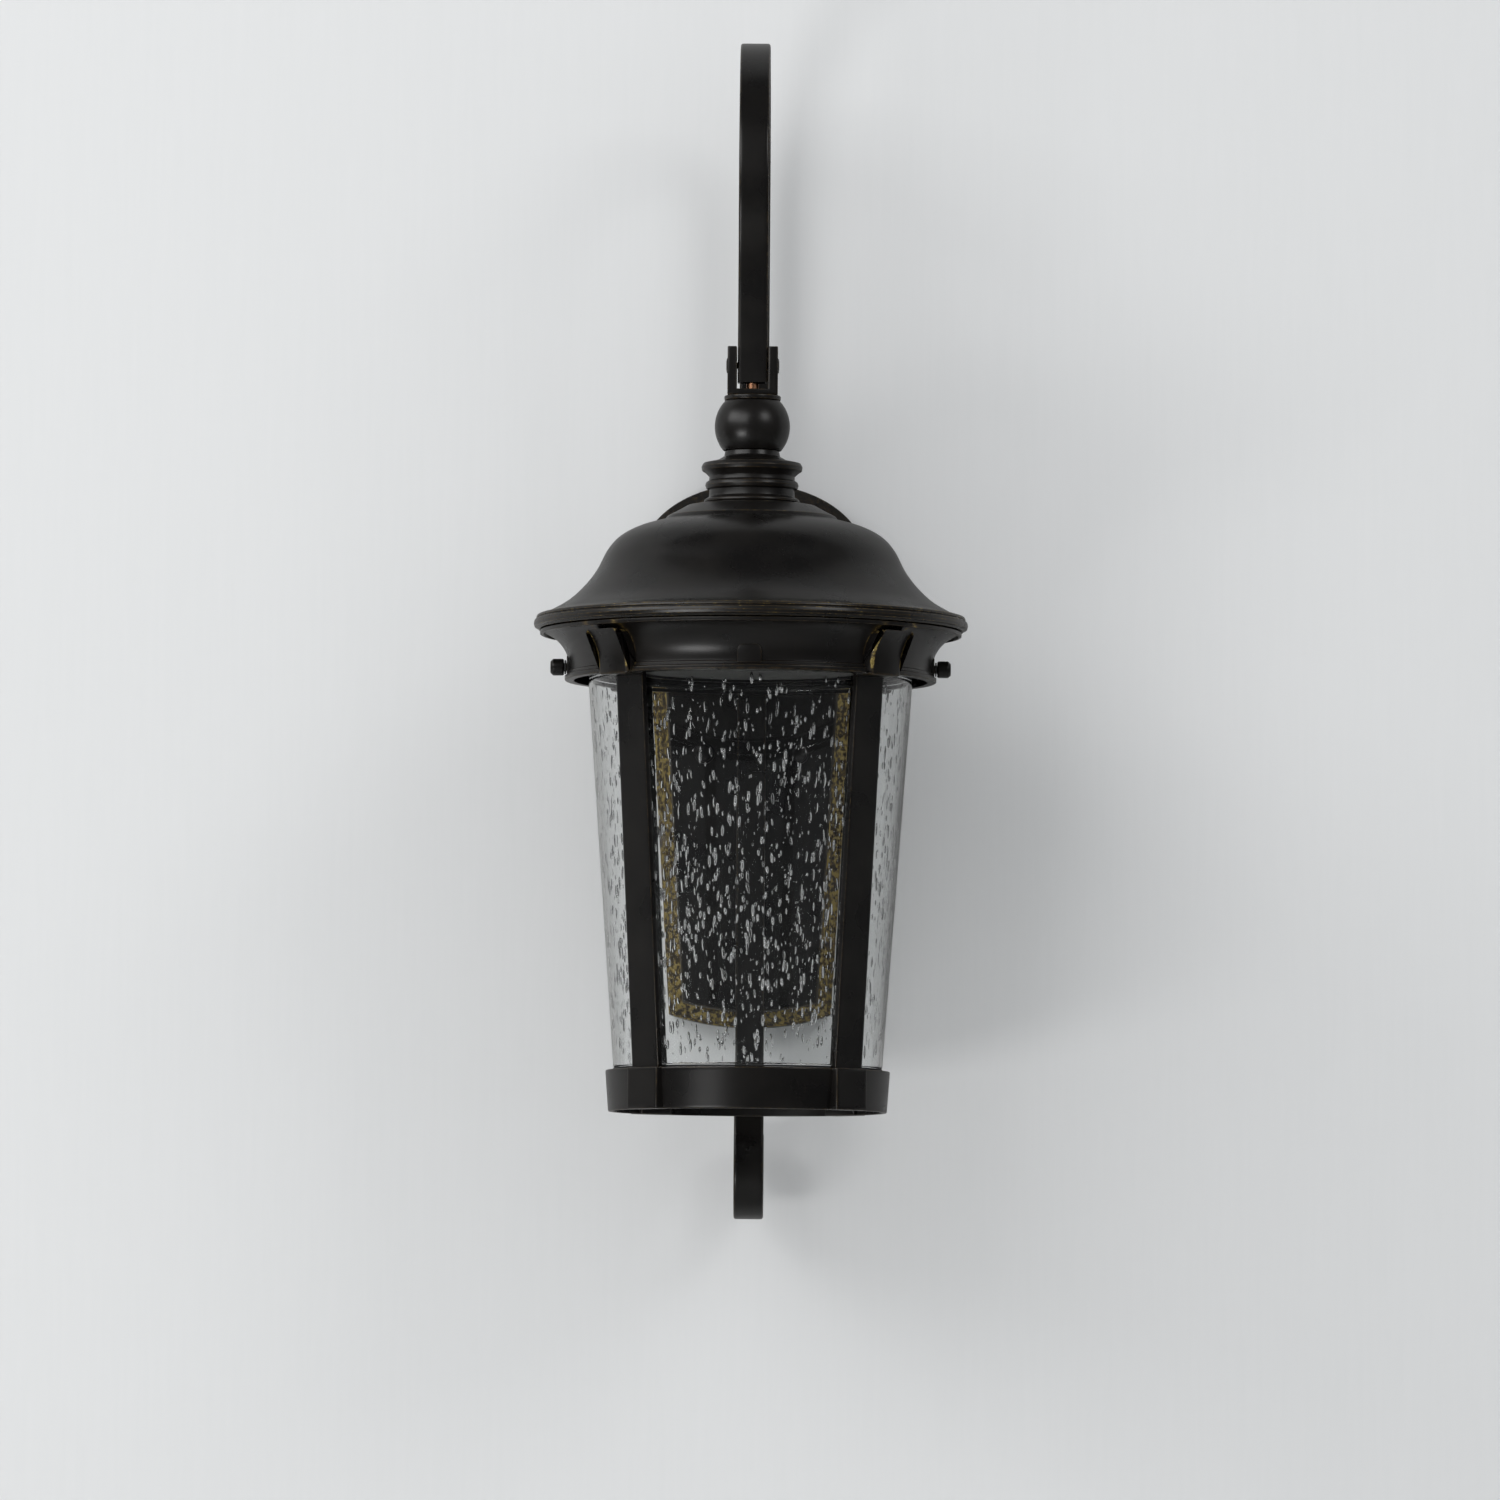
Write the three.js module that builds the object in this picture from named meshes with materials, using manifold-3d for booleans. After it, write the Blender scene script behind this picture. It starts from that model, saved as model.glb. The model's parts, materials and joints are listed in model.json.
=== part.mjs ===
// Outdoor wall lantern: a seedy-glass cage and bell roof hung from a shepherd's-crook arm.
// Millimetres, +Z up. The wall is the plane y = 0 and the lantern's front faces -Y.
// The origin is the middle of the crossbar's back face, where the light is held to the wall.

import * as THREE from 'three';
import { mergeVertices } from 'three/addons/utils/BufferGeometryUtils.js';
import Module from 'manifold-3d';

const wasm = await Module();
wasm.setup();

// ---------------------------------------------------------------- driving dimensions

const GAP = 0.3; // clearance between pieces that touch
const AXIS_FROM_WALL = 160; // lantern axis, in front of the wall
const TURNED_SIDES = 32; // facets round the large turned pieces
const SMALL_SIDES = 20; // facets round the finial, the collar and the LED engine
const SCREW_SIDES = 8; // facets round screws
const LEAD_SIDES = 6; // facets round the leads

const BAR = { width: 15.8, depth: 10, wall: 1.4, corner: 1.5 }; // bar of the arm and the tail

const PLATE = {
  height: 294,
  topHalfWidth: 60.5,
  lowHalfWidth: 46,
  archRise: 40.7, // rise of the half-elliptical top
  footRise: 7, // rise of the shallow curved bottom edge
  back: 2.3, // all depths are measured from the wall
  sideFront: 14,
  bevelFront: 21,
  front: 24,
  bevelWidth: 8,
  stepWidth: 1,
  wall: 2.5,
};

const ARM = { foot: -10, bowCentre: 298, bowRadius: 71, backTurn: 21, tip: 187 }; // backTurn: degrees
const TAIL = { bendStart: -150, front: 60, curlRadius: 20, curlCentre: -225.3, tip: -204 };
const LEAD_HOLE = { z: 60, radius: 5 };
const FIXING_HEIGHTS = { arm: [4, 34], tail: [-40, -118] };

const CLEVIS = { halfWidth: 13.25, halfDepth: 7, bottom: 180.3, floor: 183.4, top: 205.8, pivot: 196 };
const BALL = { centre: 163.8, radius: 19.8, top: 177.3, bottom: 151.2 };
const NIPPLE = { radius: 4.9, bore: 3.5, top: 183.4, bottom: 113.5 };
const LOCK_NUT = { bore: 6, radius: 9, height: 5.6 };

const WASHER_RADIUS = 14.9; // plain disc between the ball and the clevis

const ROOF = { top: 123.4, crease: [45.5, 114.4], foot: [106.2, 65.2], wall: 2.3 };
const RIM = { radius: 114, top: 62.2, bottom: 56.1, inner: 107.4 };
const ROOF_GASKET = { inner: 103.3, outer: 106.3, bottom: 56, top: 58.2 };
const LUG = { radius: 4.5, reach: 90, threadDepth: 3.5 }; // the roof's lugs for the pan screws
const PAN = {
  radius: 85,
  wall: 2,
  bottom: 33,
  web: 55, // underside of the plate across the pan
  wiringHole: 12,
  flange: 66,
  flangeRadius: 96.5,
  screwRadius: 91,
};
const ENGINE = { radius: 62, wall: 2, lip: 57.5, lipThickness: 1.2, screwRadius: 55, leadHole: 50 };
const LENS_THICKNESS = 2;
const REFLECTOR = { mouth: 59.4, top: 51, wall: 1.2 };
const DRIVER = { length: 76, width: 42, height: 22 };

const GALLERY = {
  throat: 95,
  coveRadius: 21,
  coveBase: 35,
  mouth: 110.2,
  bead: 97.6,
  bottom: 29.3,
  wall: 2.2,
};
const PAD = { width: 12.6, bottom: 32.7, top: 42.4, face: 96.5, corner: 4 };
const BLOCK = { width: 22, bottom: 28, top: 51, foot: 100.6, coveRadius: 26 };
const POST = { width: 19.5, thickness: 3.3, top: 49.5, bottom: -187.5, screwHeight: 40 };
const POST_FACE = { topHeight: 30.8, topRadius: 88.9, lowHeight: -172, lowRadius: 75 };
const FOOT_GASKET = { inner: 66.5, outer: 70.5 };
const GLASS = { top: 31, topRadius: 85.2, bottom: -173.6, bottomRadius: 70.5, wall: 2 };
const RING = { top: -175, topRadius: 74.6, bottom: -196.7, bottomRadius: 73, ledge: 64, ledgeDepth: 3 };
const FOOT = { width: 22, outer: 77.2, inner: 68 };
const THUMBSCREW = { z: 36.4, head: 4.4, neck: 2.2, headBack: 98, headFront: 105.2, tip: 85.5 };

const POST_NAMES = ['front_left', 'front_right', 'rear_right', 'rear_left'];
const POST_ANGLES = [225, 315, 45, 135]; // degrees about the lantern's axis
const PAD_ANGLES = [0, 90, 180, 270];
const PAN_SCREW_ANGLES = [30, 150, 270];
const ENGINE_SCREW_ANGLES = [90, 210, 330];

const FLANGE_THICKNESS = 2;
const LUG_BOTTOM = PAN.flange + FLANGE_THICKNESS + GAP;
const WEB_TOP = PAN.web + PAN.wall;
const BOARD = { radius: 54, top: 48.1, thickness: 1.6 };
const SPREADER_TOP = PAN.web - GAP;

const STUD = { x: 26, back: -0.5, beyondPlate: 6.8 }; // either side of the arm
const CROSSBAR = { halfLength: 45.5, halfHeight: 12, thickness: 2, corner: 3 };
const SLOT = { from: 31, to: 42.5, halfHeight: 2.5 }; // takes box screws 67 to 80 mm apart
const GROUND_SCREW = { x: 12, z: 5, head: 3.2, headHeight: 2 };

const M4 = 2; // thread radius of the larger screws
const M3 = 1.5;
const BAR_SCREW = { length: 9, head: 3.8, headHeight: 2.4 }; // holds the arm and the tail to the plate
const PIVOT_SCREW = { length: 7.2, head: 4 };
const POST_SCREW = { length: 9, head: 3.8 };
const PAN_SCREW = { length: 5.2, head: 3.2, headHeight: 2 };
const ENGINE_SCREW = { length: 6, head: 3, headHeight: 2 };

const SHEATH_RADIUS = 3; // driver lead, where it fills the nipple
const ARM_LEAD_RADIUS = 2.3;
const LED_LEAD_RADIUS = 1.6;
const CORE_RADIUS = 1;

// ---------------------------------------------------------------- materials

function finish(color, roughness, metalness) {
  return new THREE.MeshStandardMaterial({ color, roughness, metalness });
}

const bronze = finish(0x17130f, 0.42, 0.75);
const bronzeFixing = finish(0x1d1711, 0.4, 0.8);
const zincSteel = finish(0xa9adb0, 0.35, 0.9);
const brass = finish(0xb08d4a, 0.3, 0.9);
const aluminium = finish(0xb9bcbe, 0.4, 0.9);
const whitePaint = finish(0xeceae4, 0.6, 0);
const boardWhite = finish(0xf1f0ea, 0.5, 0);
const driverCase = finish(0xd9d9d4, 0.55, 0);
const blackRubber = finish(0x141414, 0.9, 0);
const greyFoam = finish(0x2b2b2b, 0.95, 0);
const blackLead = finish(0x111111, 0.5, 0);
const whiteLead = finish(0xe8e8e4, 0.5, 0);
const greenLead = finish(0x2c7a3c, 0.5, 0);
const frosted = finish(0xf4f4f0, 0.7, 0);
const clearGlass = new THREE.MeshStandardMaterial({
  color: 0xdfe6e4,
  roughness: 0.05,
  metalness: 0,
  transparent: true,
  opacity: 0.3,
});

// ---------------------------------------------------------------- geometry helpers

// One closed surface with shared corners, no flattened triangles and its faces pointing out.
function closedSurface(source) {
  const bare = source.clone();
  bare.deleteAttribute('normal');
  bare.deleteAttribute('uv');
  const merged = mergeVertices(bare, 1e-4);
  const index = Array.from(merged.index.array);
  const corner = (i) => new THREE.Vector3().fromBufferAttribute(merged.attributes.position, i);
  const kept = [];
  let volume = 0;
  for (let t = 0; t < index.length; t += 3) {
    const [a, b, c] = index.slice(t, t + 3);
    if (a === b || b === c || c === a) continue;
    kept.push([a, b, c]);
    volume += corner(a).dot(corner(b).cross(corner(c)));
  }
  const faces = volume < 0 ? kept.map(([a, b, c]) => [a, c, b]) : kept;
  const surface = new THREE.BufferGeometry();
  surface.setAttribute('position', merged.attributes.position);
  surface.setIndex(faces.flat());
  surface.computeVertexNormals();
  return surface;
}

function solidOf(geometry) {
  const surface = closedSurface(geometry);
  const mesh = new wasm.Mesh({
    numProp: 3,
    vertProperties: new Float32Array(surface.attributes.position.array),
    triVerts: new Uint32Array(surface.index.array),
  });
  return new wasm.Manifold(mesh);
}

function geometryOf(solid) {
  const mesh = solid.getMesh();
  const geometry = new THREE.BufferGeometry();
  geometry.setAttribute('position', new THREE.BufferAttribute(new Float32Array(mesh.vertProperties), 3));
  geometry.setIndex(new THREE.BufferAttribute(new Uint32Array(mesh.triVerts), 1));
  geometry.computeVertexNormals();
  return geometry;
}

function joined(geometry, additions) {
  return geometryOf(additions.reduce((solid, extra) => solid.add(solidOf(extra)), solidOf(geometry)));
}

function drilled(geometry, tools) {
  return geometryOf(tools.reduce((solid, tool) => solid.subtract(solidOf(tool)), solidOf(geometry)));
}

// A profile of [radius, height] corners turned about Z. It closes on itself or ends on the axis.
function turned(profile, sides = TURNED_SIDES) {
  const corners = profile.map(([radius, height]) => new THREE.Vector2(radius, height));
  const onAxis = corners[0].x === 0 && corners.at(-1).x === 0;
  if (!onAxis) corners.push(corners[0].clone());
  const geometry = new THREE.LatheGeometry(corners, sides);
  geometry.rotateX(Math.PI / 2);
  return closedSurface(geometry);
}

// A ring or tube of rectangular section about Z.
function turnedRing(inner, outer, bottom, top, sides = TURNED_SIDES) {
  return turned([[outer, bottom], [outer, top], [inner, top], [inner, bottom]], sides);
}

function turnedDisc(radius, bottom, top) {
  return turned([[0, bottom], [radius, bottom], [radius, top], [0, top]], SMALL_SIDES);
}

function rodBetween(start, end, radius, sides = 12) {
  const axis = end.clone().sub(start);
  const geometry = new THREE.CylinderGeometry(radius, radius, axis.length(), sides);
  const upward = new THREE.Vector3(0, 1, 0);
  geometry.applyQuaternion(new THREE.Quaternion().setFromUnitVectors(upward, axis.normalize()));
  const middle = start.clone().add(end).multiplyScalar(0.5);
  geometry.translate(middle.x, middle.y, middle.z);
  return geometry;
}

function boxBetween(low, high) {
  const geometry = new THREE.BoxGeometry(high[0] - low[0], high[1] - low[1], high[2] - low[2]);
  geometry.translate((low[0] + high[0]) / 2, (low[1] + high[1]) / 2, (low[2] + high[2]) / 2);
  return geometry;
}

// A screw along +Z with the underside of its head at z = 0. A flat head is a cone, sunk below 0.
function screw(shankRadius, shankLength, headRadius, headHeight, flatHead = false) {
  if (flatHead) {
    return turned(
      [[0, -shankLength], [shankRadius, -shankLength], [shankRadius, -headHeight], [headRadius, 0], [0, 0]],
      SCREW_SIDES,
    );
  }
  return turned(
    [
      [0, -shankLength],
      [shankRadius, -shankLength],
      [shankRadius, 0],
      [headRadius, 0],
      [headRadius, headHeight * 0.5],
      [headRadius * 0.6, headHeight],
      [0, headHeight],
    ],
    SCREW_SIDES,
  );
}

// Plan (x, height) shapes are drawn facing the room: a front view, thickened away from the wall.
function frontExtrusion(shape, back, front) {
  const geometry = new THREE.ExtrudeGeometry(shape, { depth: front - back, bevelEnabled: false });
  geometry.rotateX(Math.PI / 2);
  geometry.translate(0, -back, 0);
  return geometry;
}

// A closed body over rings of equal length, capped on its first and last ring.
function skinned(rings) {
  const count = rings[0].length;
  const faces = [];
  for (let r = 0; r + 1 < rings.length; r += 1) {
    for (let i = 0; i < count; i += 1) {
      const next = (i + 1) % count;
      const low = r * count;
      const high = low + count;
      faces.push([low + i, low + next, high + next], [low + i, high + next, high + i]);
    }
  }
  const lastRing = (rings.length - 1) * count;
  const flat = (ring) => ring.map((p) => new THREE.Vector2(p.x, p.z));
  THREE.ShapeUtils.triangulateShape(flat(rings[0]), []).forEach(([a, b, c]) => faces.push([c, b, a]));
  THREE.ShapeUtils.triangulateShape(flat(rings.at(-1)), []).forEach((face) =>
    faces.push(face.map((i) => i + lastRing)),
  );
  const geometry = new THREE.BufferGeometry();
  geometry.setFromPoints(rings.flat());
  geometry.setIndex(faces.flat());
  return closedSurface(geometry);
}

// ---------------------------------------------------------------- bar and lead paths

const wallSide = (distance, z) => new THREE.Vector3(0, -distance, z);

// An arc in the plane x = 0. Angles in degrees: 0 points into the room, 90 points up.
class SideArc extends THREE.Curve {
  constructor(centreDistance, centreZ, radius, startAngle, endAngle) {
    super();
    Object.assign(this, { centreDistance, centreZ, radius, startAngle, endAngle });
  }

  getPoint(t, target = new THREE.Vector3()) {
    const angle = THREE.MathUtils.degToRad(THREE.MathUtils.lerp(this.startAngle, this.endAngle, t));
    const distance = this.centreDistance + this.radius * Math.cos(angle);
    return target.set(0, -distance, this.centreZ + this.radius * Math.sin(angle));
  }
}

function pathOf(...curves) {
  const path = new THREE.CurvePath();
  curves.forEach((curve) => path.add(curve));
  return path;
}

const LEG = PLATE.front + GAP + BAR.depth / 2; // centre of the bar on the backplate, from the wall

// The crook: over the top in one bow, then back under it onto the lantern's axis.
function crookCurves(startZ) {
  const centre = LEG + ARM.bowRadius;
  const turn = THREE.MathUtils.degToRad(ARM.backTurn);
  const overshoot = centre + ARM.bowRadius * Math.cos(turn) - AXIS_FROM_WALL;
  const returnRadius = overshoot / (1 - Math.cos(turn));
  const reach = ARM.bowRadius + returnRadius;
  const returnCentre = centre + reach * Math.cos(turn);
  const returnZ = ARM.bowCentre - reach * Math.sin(turn);
  return [
    new THREE.LineCurve3(wallSide(LEG, startZ), wallSide(LEG, ARM.bowCentre)),
    new SideArc(centre, ARM.bowCentre, ARM.bowRadius, 180, -ARM.backTurn),
    new SideArc(returnCentre, returnZ, returnRadius, 180 - ARM.backTurn, 180),
    new THREE.LineCurve3(wallSide(AXIS_FROM_WALL, returnZ), wallSide(AXIS_FROM_WALL, ARM.tip)),
  ];
}

// The tail: a bend forwards and back, then a curl under to a tip beside the wall.
function tailCurves(startZ) {
  const halfReach = (TAIL.front - LEG) / 2;
  const halfDrop = (TAIL.bendStart - TAIL.curlCentre) / 2;
  const radius = (halfReach ** 2 + halfDrop ** 2) / (2 * halfReach);
  const bend = THREE.MathUtils.radToDeg(Math.asin(halfDrop / radius));
  const curlCentre = TAIL.front - TAIL.curlRadius;
  const back = curlCentre - TAIL.curlRadius;
  return [
    new THREE.LineCurve3(wallSide(LEG, startZ), wallSide(LEG, TAIL.bendStart)),
    new SideArc(LEG + radius, TAIL.bendStart, radius, 180, 180 + bend),
    new SideArc(TAIL.front - radius, TAIL.curlCentre, radius, bend, 0),
    new SideArc(curlCentre, TAIL.curlCentre, TAIL.curlRadius, 0, -180),
    new THREE.LineCurve3(wallSide(back, TAIL.curlCentre), wallSide(back, TAIL.tip)),
  ];
}

function rectangle(halfX, halfY) {
  const corners = [[halfX, -halfY], [halfX, halfY], [-halfX, halfY], [-halfX, -halfY]];
  return corners.map(([x, y]) => new THREE.Vector2(x, y));
}

// A rectangle with its corners cut off.
function chamfered(halfX, halfY, corner) {
  const shape = new THREE.Shape();
  shape.moveTo(halfX, -halfY + corner);
  shape.lineTo(halfX, halfY - corner);
  shape.lineTo(halfX - corner, halfY);
  shape.lineTo(-halfX + corner, halfY);
  shape.lineTo(-halfX, halfY - corner);
  shape.lineTo(-halfX, -halfY + corner);
  shape.lineTo(-halfX + corner, -halfY);
  shape.lineTo(halfX - corner, -halfY);
  shape.closePath();
  return shape;
}

// The bar's section: x lies in the plane of its bends, y across it.
const barSection = () => chamfered(BAR.depth / 2, BAR.width / 2, BAR.corner);

function alongPath(section, path, steps) {
  return closedSurface(new THREE.ExtrudeGeometry(section, { steps, extrudePath: path, bevelEnabled: false }));
}

function leadAlong(path, radius, steps) {
  const section = new THREE.Shape();
  for (let i = 0; i < LEAD_SIDES; i += 1) {
    const angle = (i / LEAD_SIDES) * 2 * Math.PI;
    const corner = [radius * Math.cos(angle), radius * Math.sin(angle)];
    if (i === 0) section.moveTo(...corner);
    else section.lineTo(...corner);
  }
  section.closePath();
  return alongPath(section, path, steps);
}

// ---------------------------------------------------------------- assembly helpers

const lantern = new THREE.Group();
const lanternAxis = new THREE.Group();
lanternAxis.position.y = -AXIS_FROM_WALL;
lantern.add(lanternAxis);

function place(parent, name, geometry, material) {
  const mesh = new THREE.Mesh(geometry, material);
  mesh.name = name;
  parent.add(mesh);
  return mesh;
}

const radians = THREE.MathUtils.degToRad;
const polar = (radius, degrees, z) =>
  new THREE.Vector3(radius * Math.cos(radians(degrees)), radius * Math.sin(radians(degrees)), z);

// ---------------------------------------------------------------- backplate and wall fixing

// The plate's outline in the front view, moved inwards by a distance.
function plateOutline(inset) {
  const { topHalfWidth, lowHalfWidth, archRise, footRise } = PLATE;
  const top = PLATE.height / 2;
  const footRadius = (lowHalfWidth ** 2 + footRise ** 2) / (2 * footRise);
  const footHalfAngle = Math.asin((lowHalfWidth - inset) / (footRadius - inset));
  const down = -Math.PI / 2;
  const path = new THREE.Path();
  path.absellipse(0, top - archRise, topHalfWidth - inset, archRise - inset, 0, Math.PI, false);
  path.absarc(0, footRadius - top, footRadius - inset, down - footHalfAngle, down + footHalfAngle, false);
  return path.getPoints(5);
}

function buildBackplate() {
  const ring = (inset, depth) => plateOutline(inset).map((p) => new THREE.Vector3(p.x, -depth, p.y));
  const panel = PLATE.bevelWidth + PLATE.stepWidth;
  const shell = skinned([
    ring(panel + PLATE.wall, PLATE.front - PLATE.wall),
    ring(PLATE.wall, PLATE.sideFront - 1),
    ring(PLATE.wall, PLATE.back),
    ring(0, PLATE.back),
    ring(0, PLATE.sideFront),
    ring(PLATE.bevelWidth, PLATE.bevelFront),
    ring(panel, PLATE.front),
  ]);
  const hole = (x, z, radius) =>
    rodBetween(new THREE.Vector3(x, -10, z), new THREE.Vector3(x, -PLATE.front - 5, z), radius);
  const fixings = [...FIXING_HEIGHTS.arm, ...FIXING_HEIGHTS.tail].map((z) => hole(0, z, M4 + GAP));
  const studs = [-STUD.x, STUD.x].map((x) => hole(x, 0, M4 + GAP));
  return drilled(shell, [...fixings, ...studs, hole(0, LEAD_HOLE.z, LEAD_HOLE.radius)]);
}

function buildCrossbar() {
  const { halfLength, halfHeight, thickness, corner } = CROSSBAR;
  const bar = chamfered(halfLength, halfHeight, corner);
  const slots = [-1, 1].map((side) => {
    const slot = new THREE.Path();
    const middle = side * ((SLOT.from + SLOT.to) / 2);
    const halfRun = (SLOT.to - SLOT.from) / 2 - SLOT.halfHeight;
    slot.absarc(middle + halfRun, 0, SLOT.halfHeight, -Math.PI / 2, Math.PI / 2, false);
    slot.absarc(middle - halfRun, 0, SLOT.halfHeight, Math.PI / 2, (3 * Math.PI) / 2, false);
    slot.closePath();
    return new THREE.Path(slot.getPoints(3));
  });
  const round = (x, z, radius) => {
    const circle = new THREE.Path().absarc(x, z, radius, 0, 2 * Math.PI);
    return new THREE.Path(circle.getPoints(5));
  };
  bar.holes.push(
    ...slots,
    round(-STUD.x, 0, M4 + GAP),
    round(STUD.x, 0, M4 + GAP),
    round(GROUND_SCREW.x, GROUND_SCREW.z, M3 + GAP),
  );
  return closedSurface(frontExtrusion(bar, 0, thickness));
}

function buildWallGasket() {
  const shape = new THREE.Shape(plateOutline(0.5));
  shape.holes.push(new THREE.Path(plateOutline(4)));
  return closedSurface(frontExtrusion(shape, 0, PLATE.back - GAP));
}

// A domed nut along +Z with a blind bore from its flat face.
function buildCapNut() {
  const radius = 5.5;
  const bore = M4 + GAP;
  return turned(
    [[0, 7.3], [bore, 7.3], [bore, 0], [radius, 0], [radius, 3.5], [4.9, 6], [3.2, 8], [0, 9]],
    12,
  );
}

place(lantern, 'backplate', buildBackplate(), bronze);
place(lantern, 'wall_gasket', buildWallGasket(), greyFoam);
place(lantern, 'crossbar', buildCrossbar(), zincSteel);

const groundScrewGeometry = screw(M3, CROSSBAR.thickness, GROUND_SCREW.head, GROUND_SCREW.headHeight);
const groundScrew = place(lantern, 'ground_screw', groundScrewGeometry, greenLead);
groundScrew.rotation.x = Math.PI / 2;
groundScrew.position.set(GROUND_SCREW.x, -CROSSBAR.thickness - GAP, GROUND_SCREW.z);

for (const [side, x] of [['left', -STUD.x], ['right', STUD.x]]) {
  const nutFace = PLATE.front + GAP;
  const studBack = new THREE.Vector3(x, STUD.back, 0);
  const studFront = new THREE.Vector3(x, -nutFace - STUD.beyondPlate, 0);
  const stud = rodBetween(studBack, studFront, M4, SCREW_SIDES);
  place(lantern, `mounting_stud_${side}`, closedSurface(stud), zincSteel);
  const nut = place(lantern, `cap_nut_${side}`, buildCapNut(), bronzeFixing);
  nut.rotation.x = Math.PI / 2;
  nut.position.set(x, -nutFace, 0);
}

// ---------------------------------------------------------------- arm, tail and their screws

function buildArmTube() {
  const section = barSection();
  section.holes.push(new THREE.Path(rectangle(BAR.depth / 2 - BAR.wall, BAR.width / 2 - BAR.wall)));
  const tube = alongPath(section, pathOf(...crookCurves(ARM.foot)), 44);
  const backHole = (z, radius) =>
    rodBetween(wallSide(PLATE.front - 2, z), wallSide(PLATE.front + GAP + BAR.wall + 1, z), radius);
  const pivotHole = rodBetween(
    new THREE.Vector3(-BAR.width, -AXIS_FROM_WALL, CLEVIS.pivot),
    new THREE.Vector3(BAR.width, -AXIS_FROM_WALL, CLEVIS.pivot),
    M4 + GAP,
  );
  const screwHoles = FIXING_HEIGHTS.arm.map((z) => backHole(z, M4 + GAP));
  return drilled(tube, [...screwHoles, backHole(LEAD_HOLE.z, LEAD_HOLE.radius), pivotHole]);
}

function buildTailScroll() {
  const bar = alongPath(barSection(), pathOf(...tailCurves(ARM.foot - GAP)), 30);
  const screwHoles = FIXING_HEIGHTS.tail.map((z) =>
    rodBetween(wallSide(PLATE.front - 2, z), wallSide(PLATE.front + 7, z), M4 + GAP),
  );
  return drilled(bar, screwHoles);
}

place(lantern, 'arm_tube', buildArmTube(), bronze);
place(lantern, 'tail_scroll', buildTailScroll(), bronze);

for (const [piece, heights] of Object.entries(FIXING_HEIGHTS)) {
  heights.forEach((z, i) => {
    const barScrew = screw(M4, BAR_SCREW.length, BAR_SCREW.head, BAR_SCREW.headHeight);
    const mesh = place(lantern, `${piece}_screw_${i + 1}`, barScrew, zincSteel);
    mesh.rotation.x = -Math.PI / 2;
    mesh.position.copy(wallSide(PLATE.front - PLATE.wall - GAP, z));
  });
}

// ---------------------------------------------------------------- leads held by the wall bracket

const leadStart = wallSide(17, LEAD_HOLE.z - 2);

function buildArmLead() {
  const cornerZ = leadStart.z;
  const riseZ = cornerZ + 14;
  const entry = new THREE.QuadraticBezierCurve3(leadStart, wallSide(LEG, cornerZ), wallSide(LEG, riseZ));
  const [leg, ...rest] = crookCurves(riseZ);
  const dropEnd = rest.pop();
  const drop = new THREE.LineCurve3(dropEnd.v1, wallSide(AXIS_FROM_WALL, ARM.tip + 0.5));
  return leadAlong(pathOf(entry, leg, ...rest, drop), ARM_LEAD_RADIUS, 48);
}

function looseCore(offset, ...ends) {
  const start = leadStart.clone().add(new THREE.Vector3(offset, 3 * GAP, 0));
  const points = [start, start.clone().add(new THREE.Vector3(offset / 2, 4, -3)), ...ends];
  return leadAlong(new THREE.CatmullRomCurve3(points), CORE_RADIUS, 9);
}

place(lantern, 'arm_lead', buildArmLead(), blackLead);
place(
  lantern,
  'live_lead',
  looseCore(-2.6, new THREE.Vector3(-12, -10, 38), new THREE.Vector3(-16, -11, 20)),
  blackLead,
);
place(
  lantern,
  'neutral_lead',
  looseCore(2.6, new THREE.Vector3(9, -10, 44), new THREE.Vector3(20, -11, 26)),
  whiteLead,
);
place(
  lantern,
  'ground_lead',
  looseCore(0, new THREE.Vector3(2, -9, 30), new THREE.Vector3(10, -6.5, 10.5)),
  greenLead,
);

// ---------------------------------------------------------------- clevis, finial and collar

function buildClevis() {
  const { halfWidth, halfDepth, bottom, floor, top, pivot } = CLEVIS;
  const slot = BAR.width / 2 + GAP + 0.1;
  const block = boxBetween([-halfWidth, -halfDepth, bottom], [halfWidth, halfDepth, top]);
  const channel = boxBetween([-slot, -halfDepth - 1, floor], [slot, halfDepth + 1, top + 1]);
  const nippleHole = rodBetween(
    new THREE.Vector3(0, 0, bottom - 1),
    new THREE.Vector3(0, 0, floor + 1),
    NIPPLE.radius + GAP,
    16,
  );
  const pivotHole = rodBetween(
    new THREE.Vector3(-halfWidth - 1, 0, pivot),
    new THREE.Vector3(halfWidth + 1, 0, pivot),
    M4 + GAP,
  );
  const sinks = [-1, 1].map((side) => {
    const sink = screw(M4 + GAP, 4, PIVOT_SCREW.head + GAP, PIVOT_SCREW.head - M4 + GAP, true);
    sink.rotateY((side * Math.PI) / 2);
    sink.translate(side * (halfWidth + 0.01), 0, pivot);
    return sink;
  });
  return drilled(block, [channel, nippleHole, pivotHole, ...sinks]);
}

function ballProfile() {
  const { centre, radius, top, bottom } = BALL;
  const bore = NIPPLE.radius + GAP;
  const low = Math.asin((bottom - centre) / radius);
  const high = Math.asin((top - centre) / radius);
  const steps = 8;
  const round = Array.from({ length: steps + 1 }, (_, i) => {
    const angle = THREE.MathUtils.lerp(low, high, i / steps);
    return [radius * Math.cos(angle), centre + radius * Math.sin(angle)];
  });
  return [[bore, bottom], ...round, [bore, top]];
}

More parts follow.
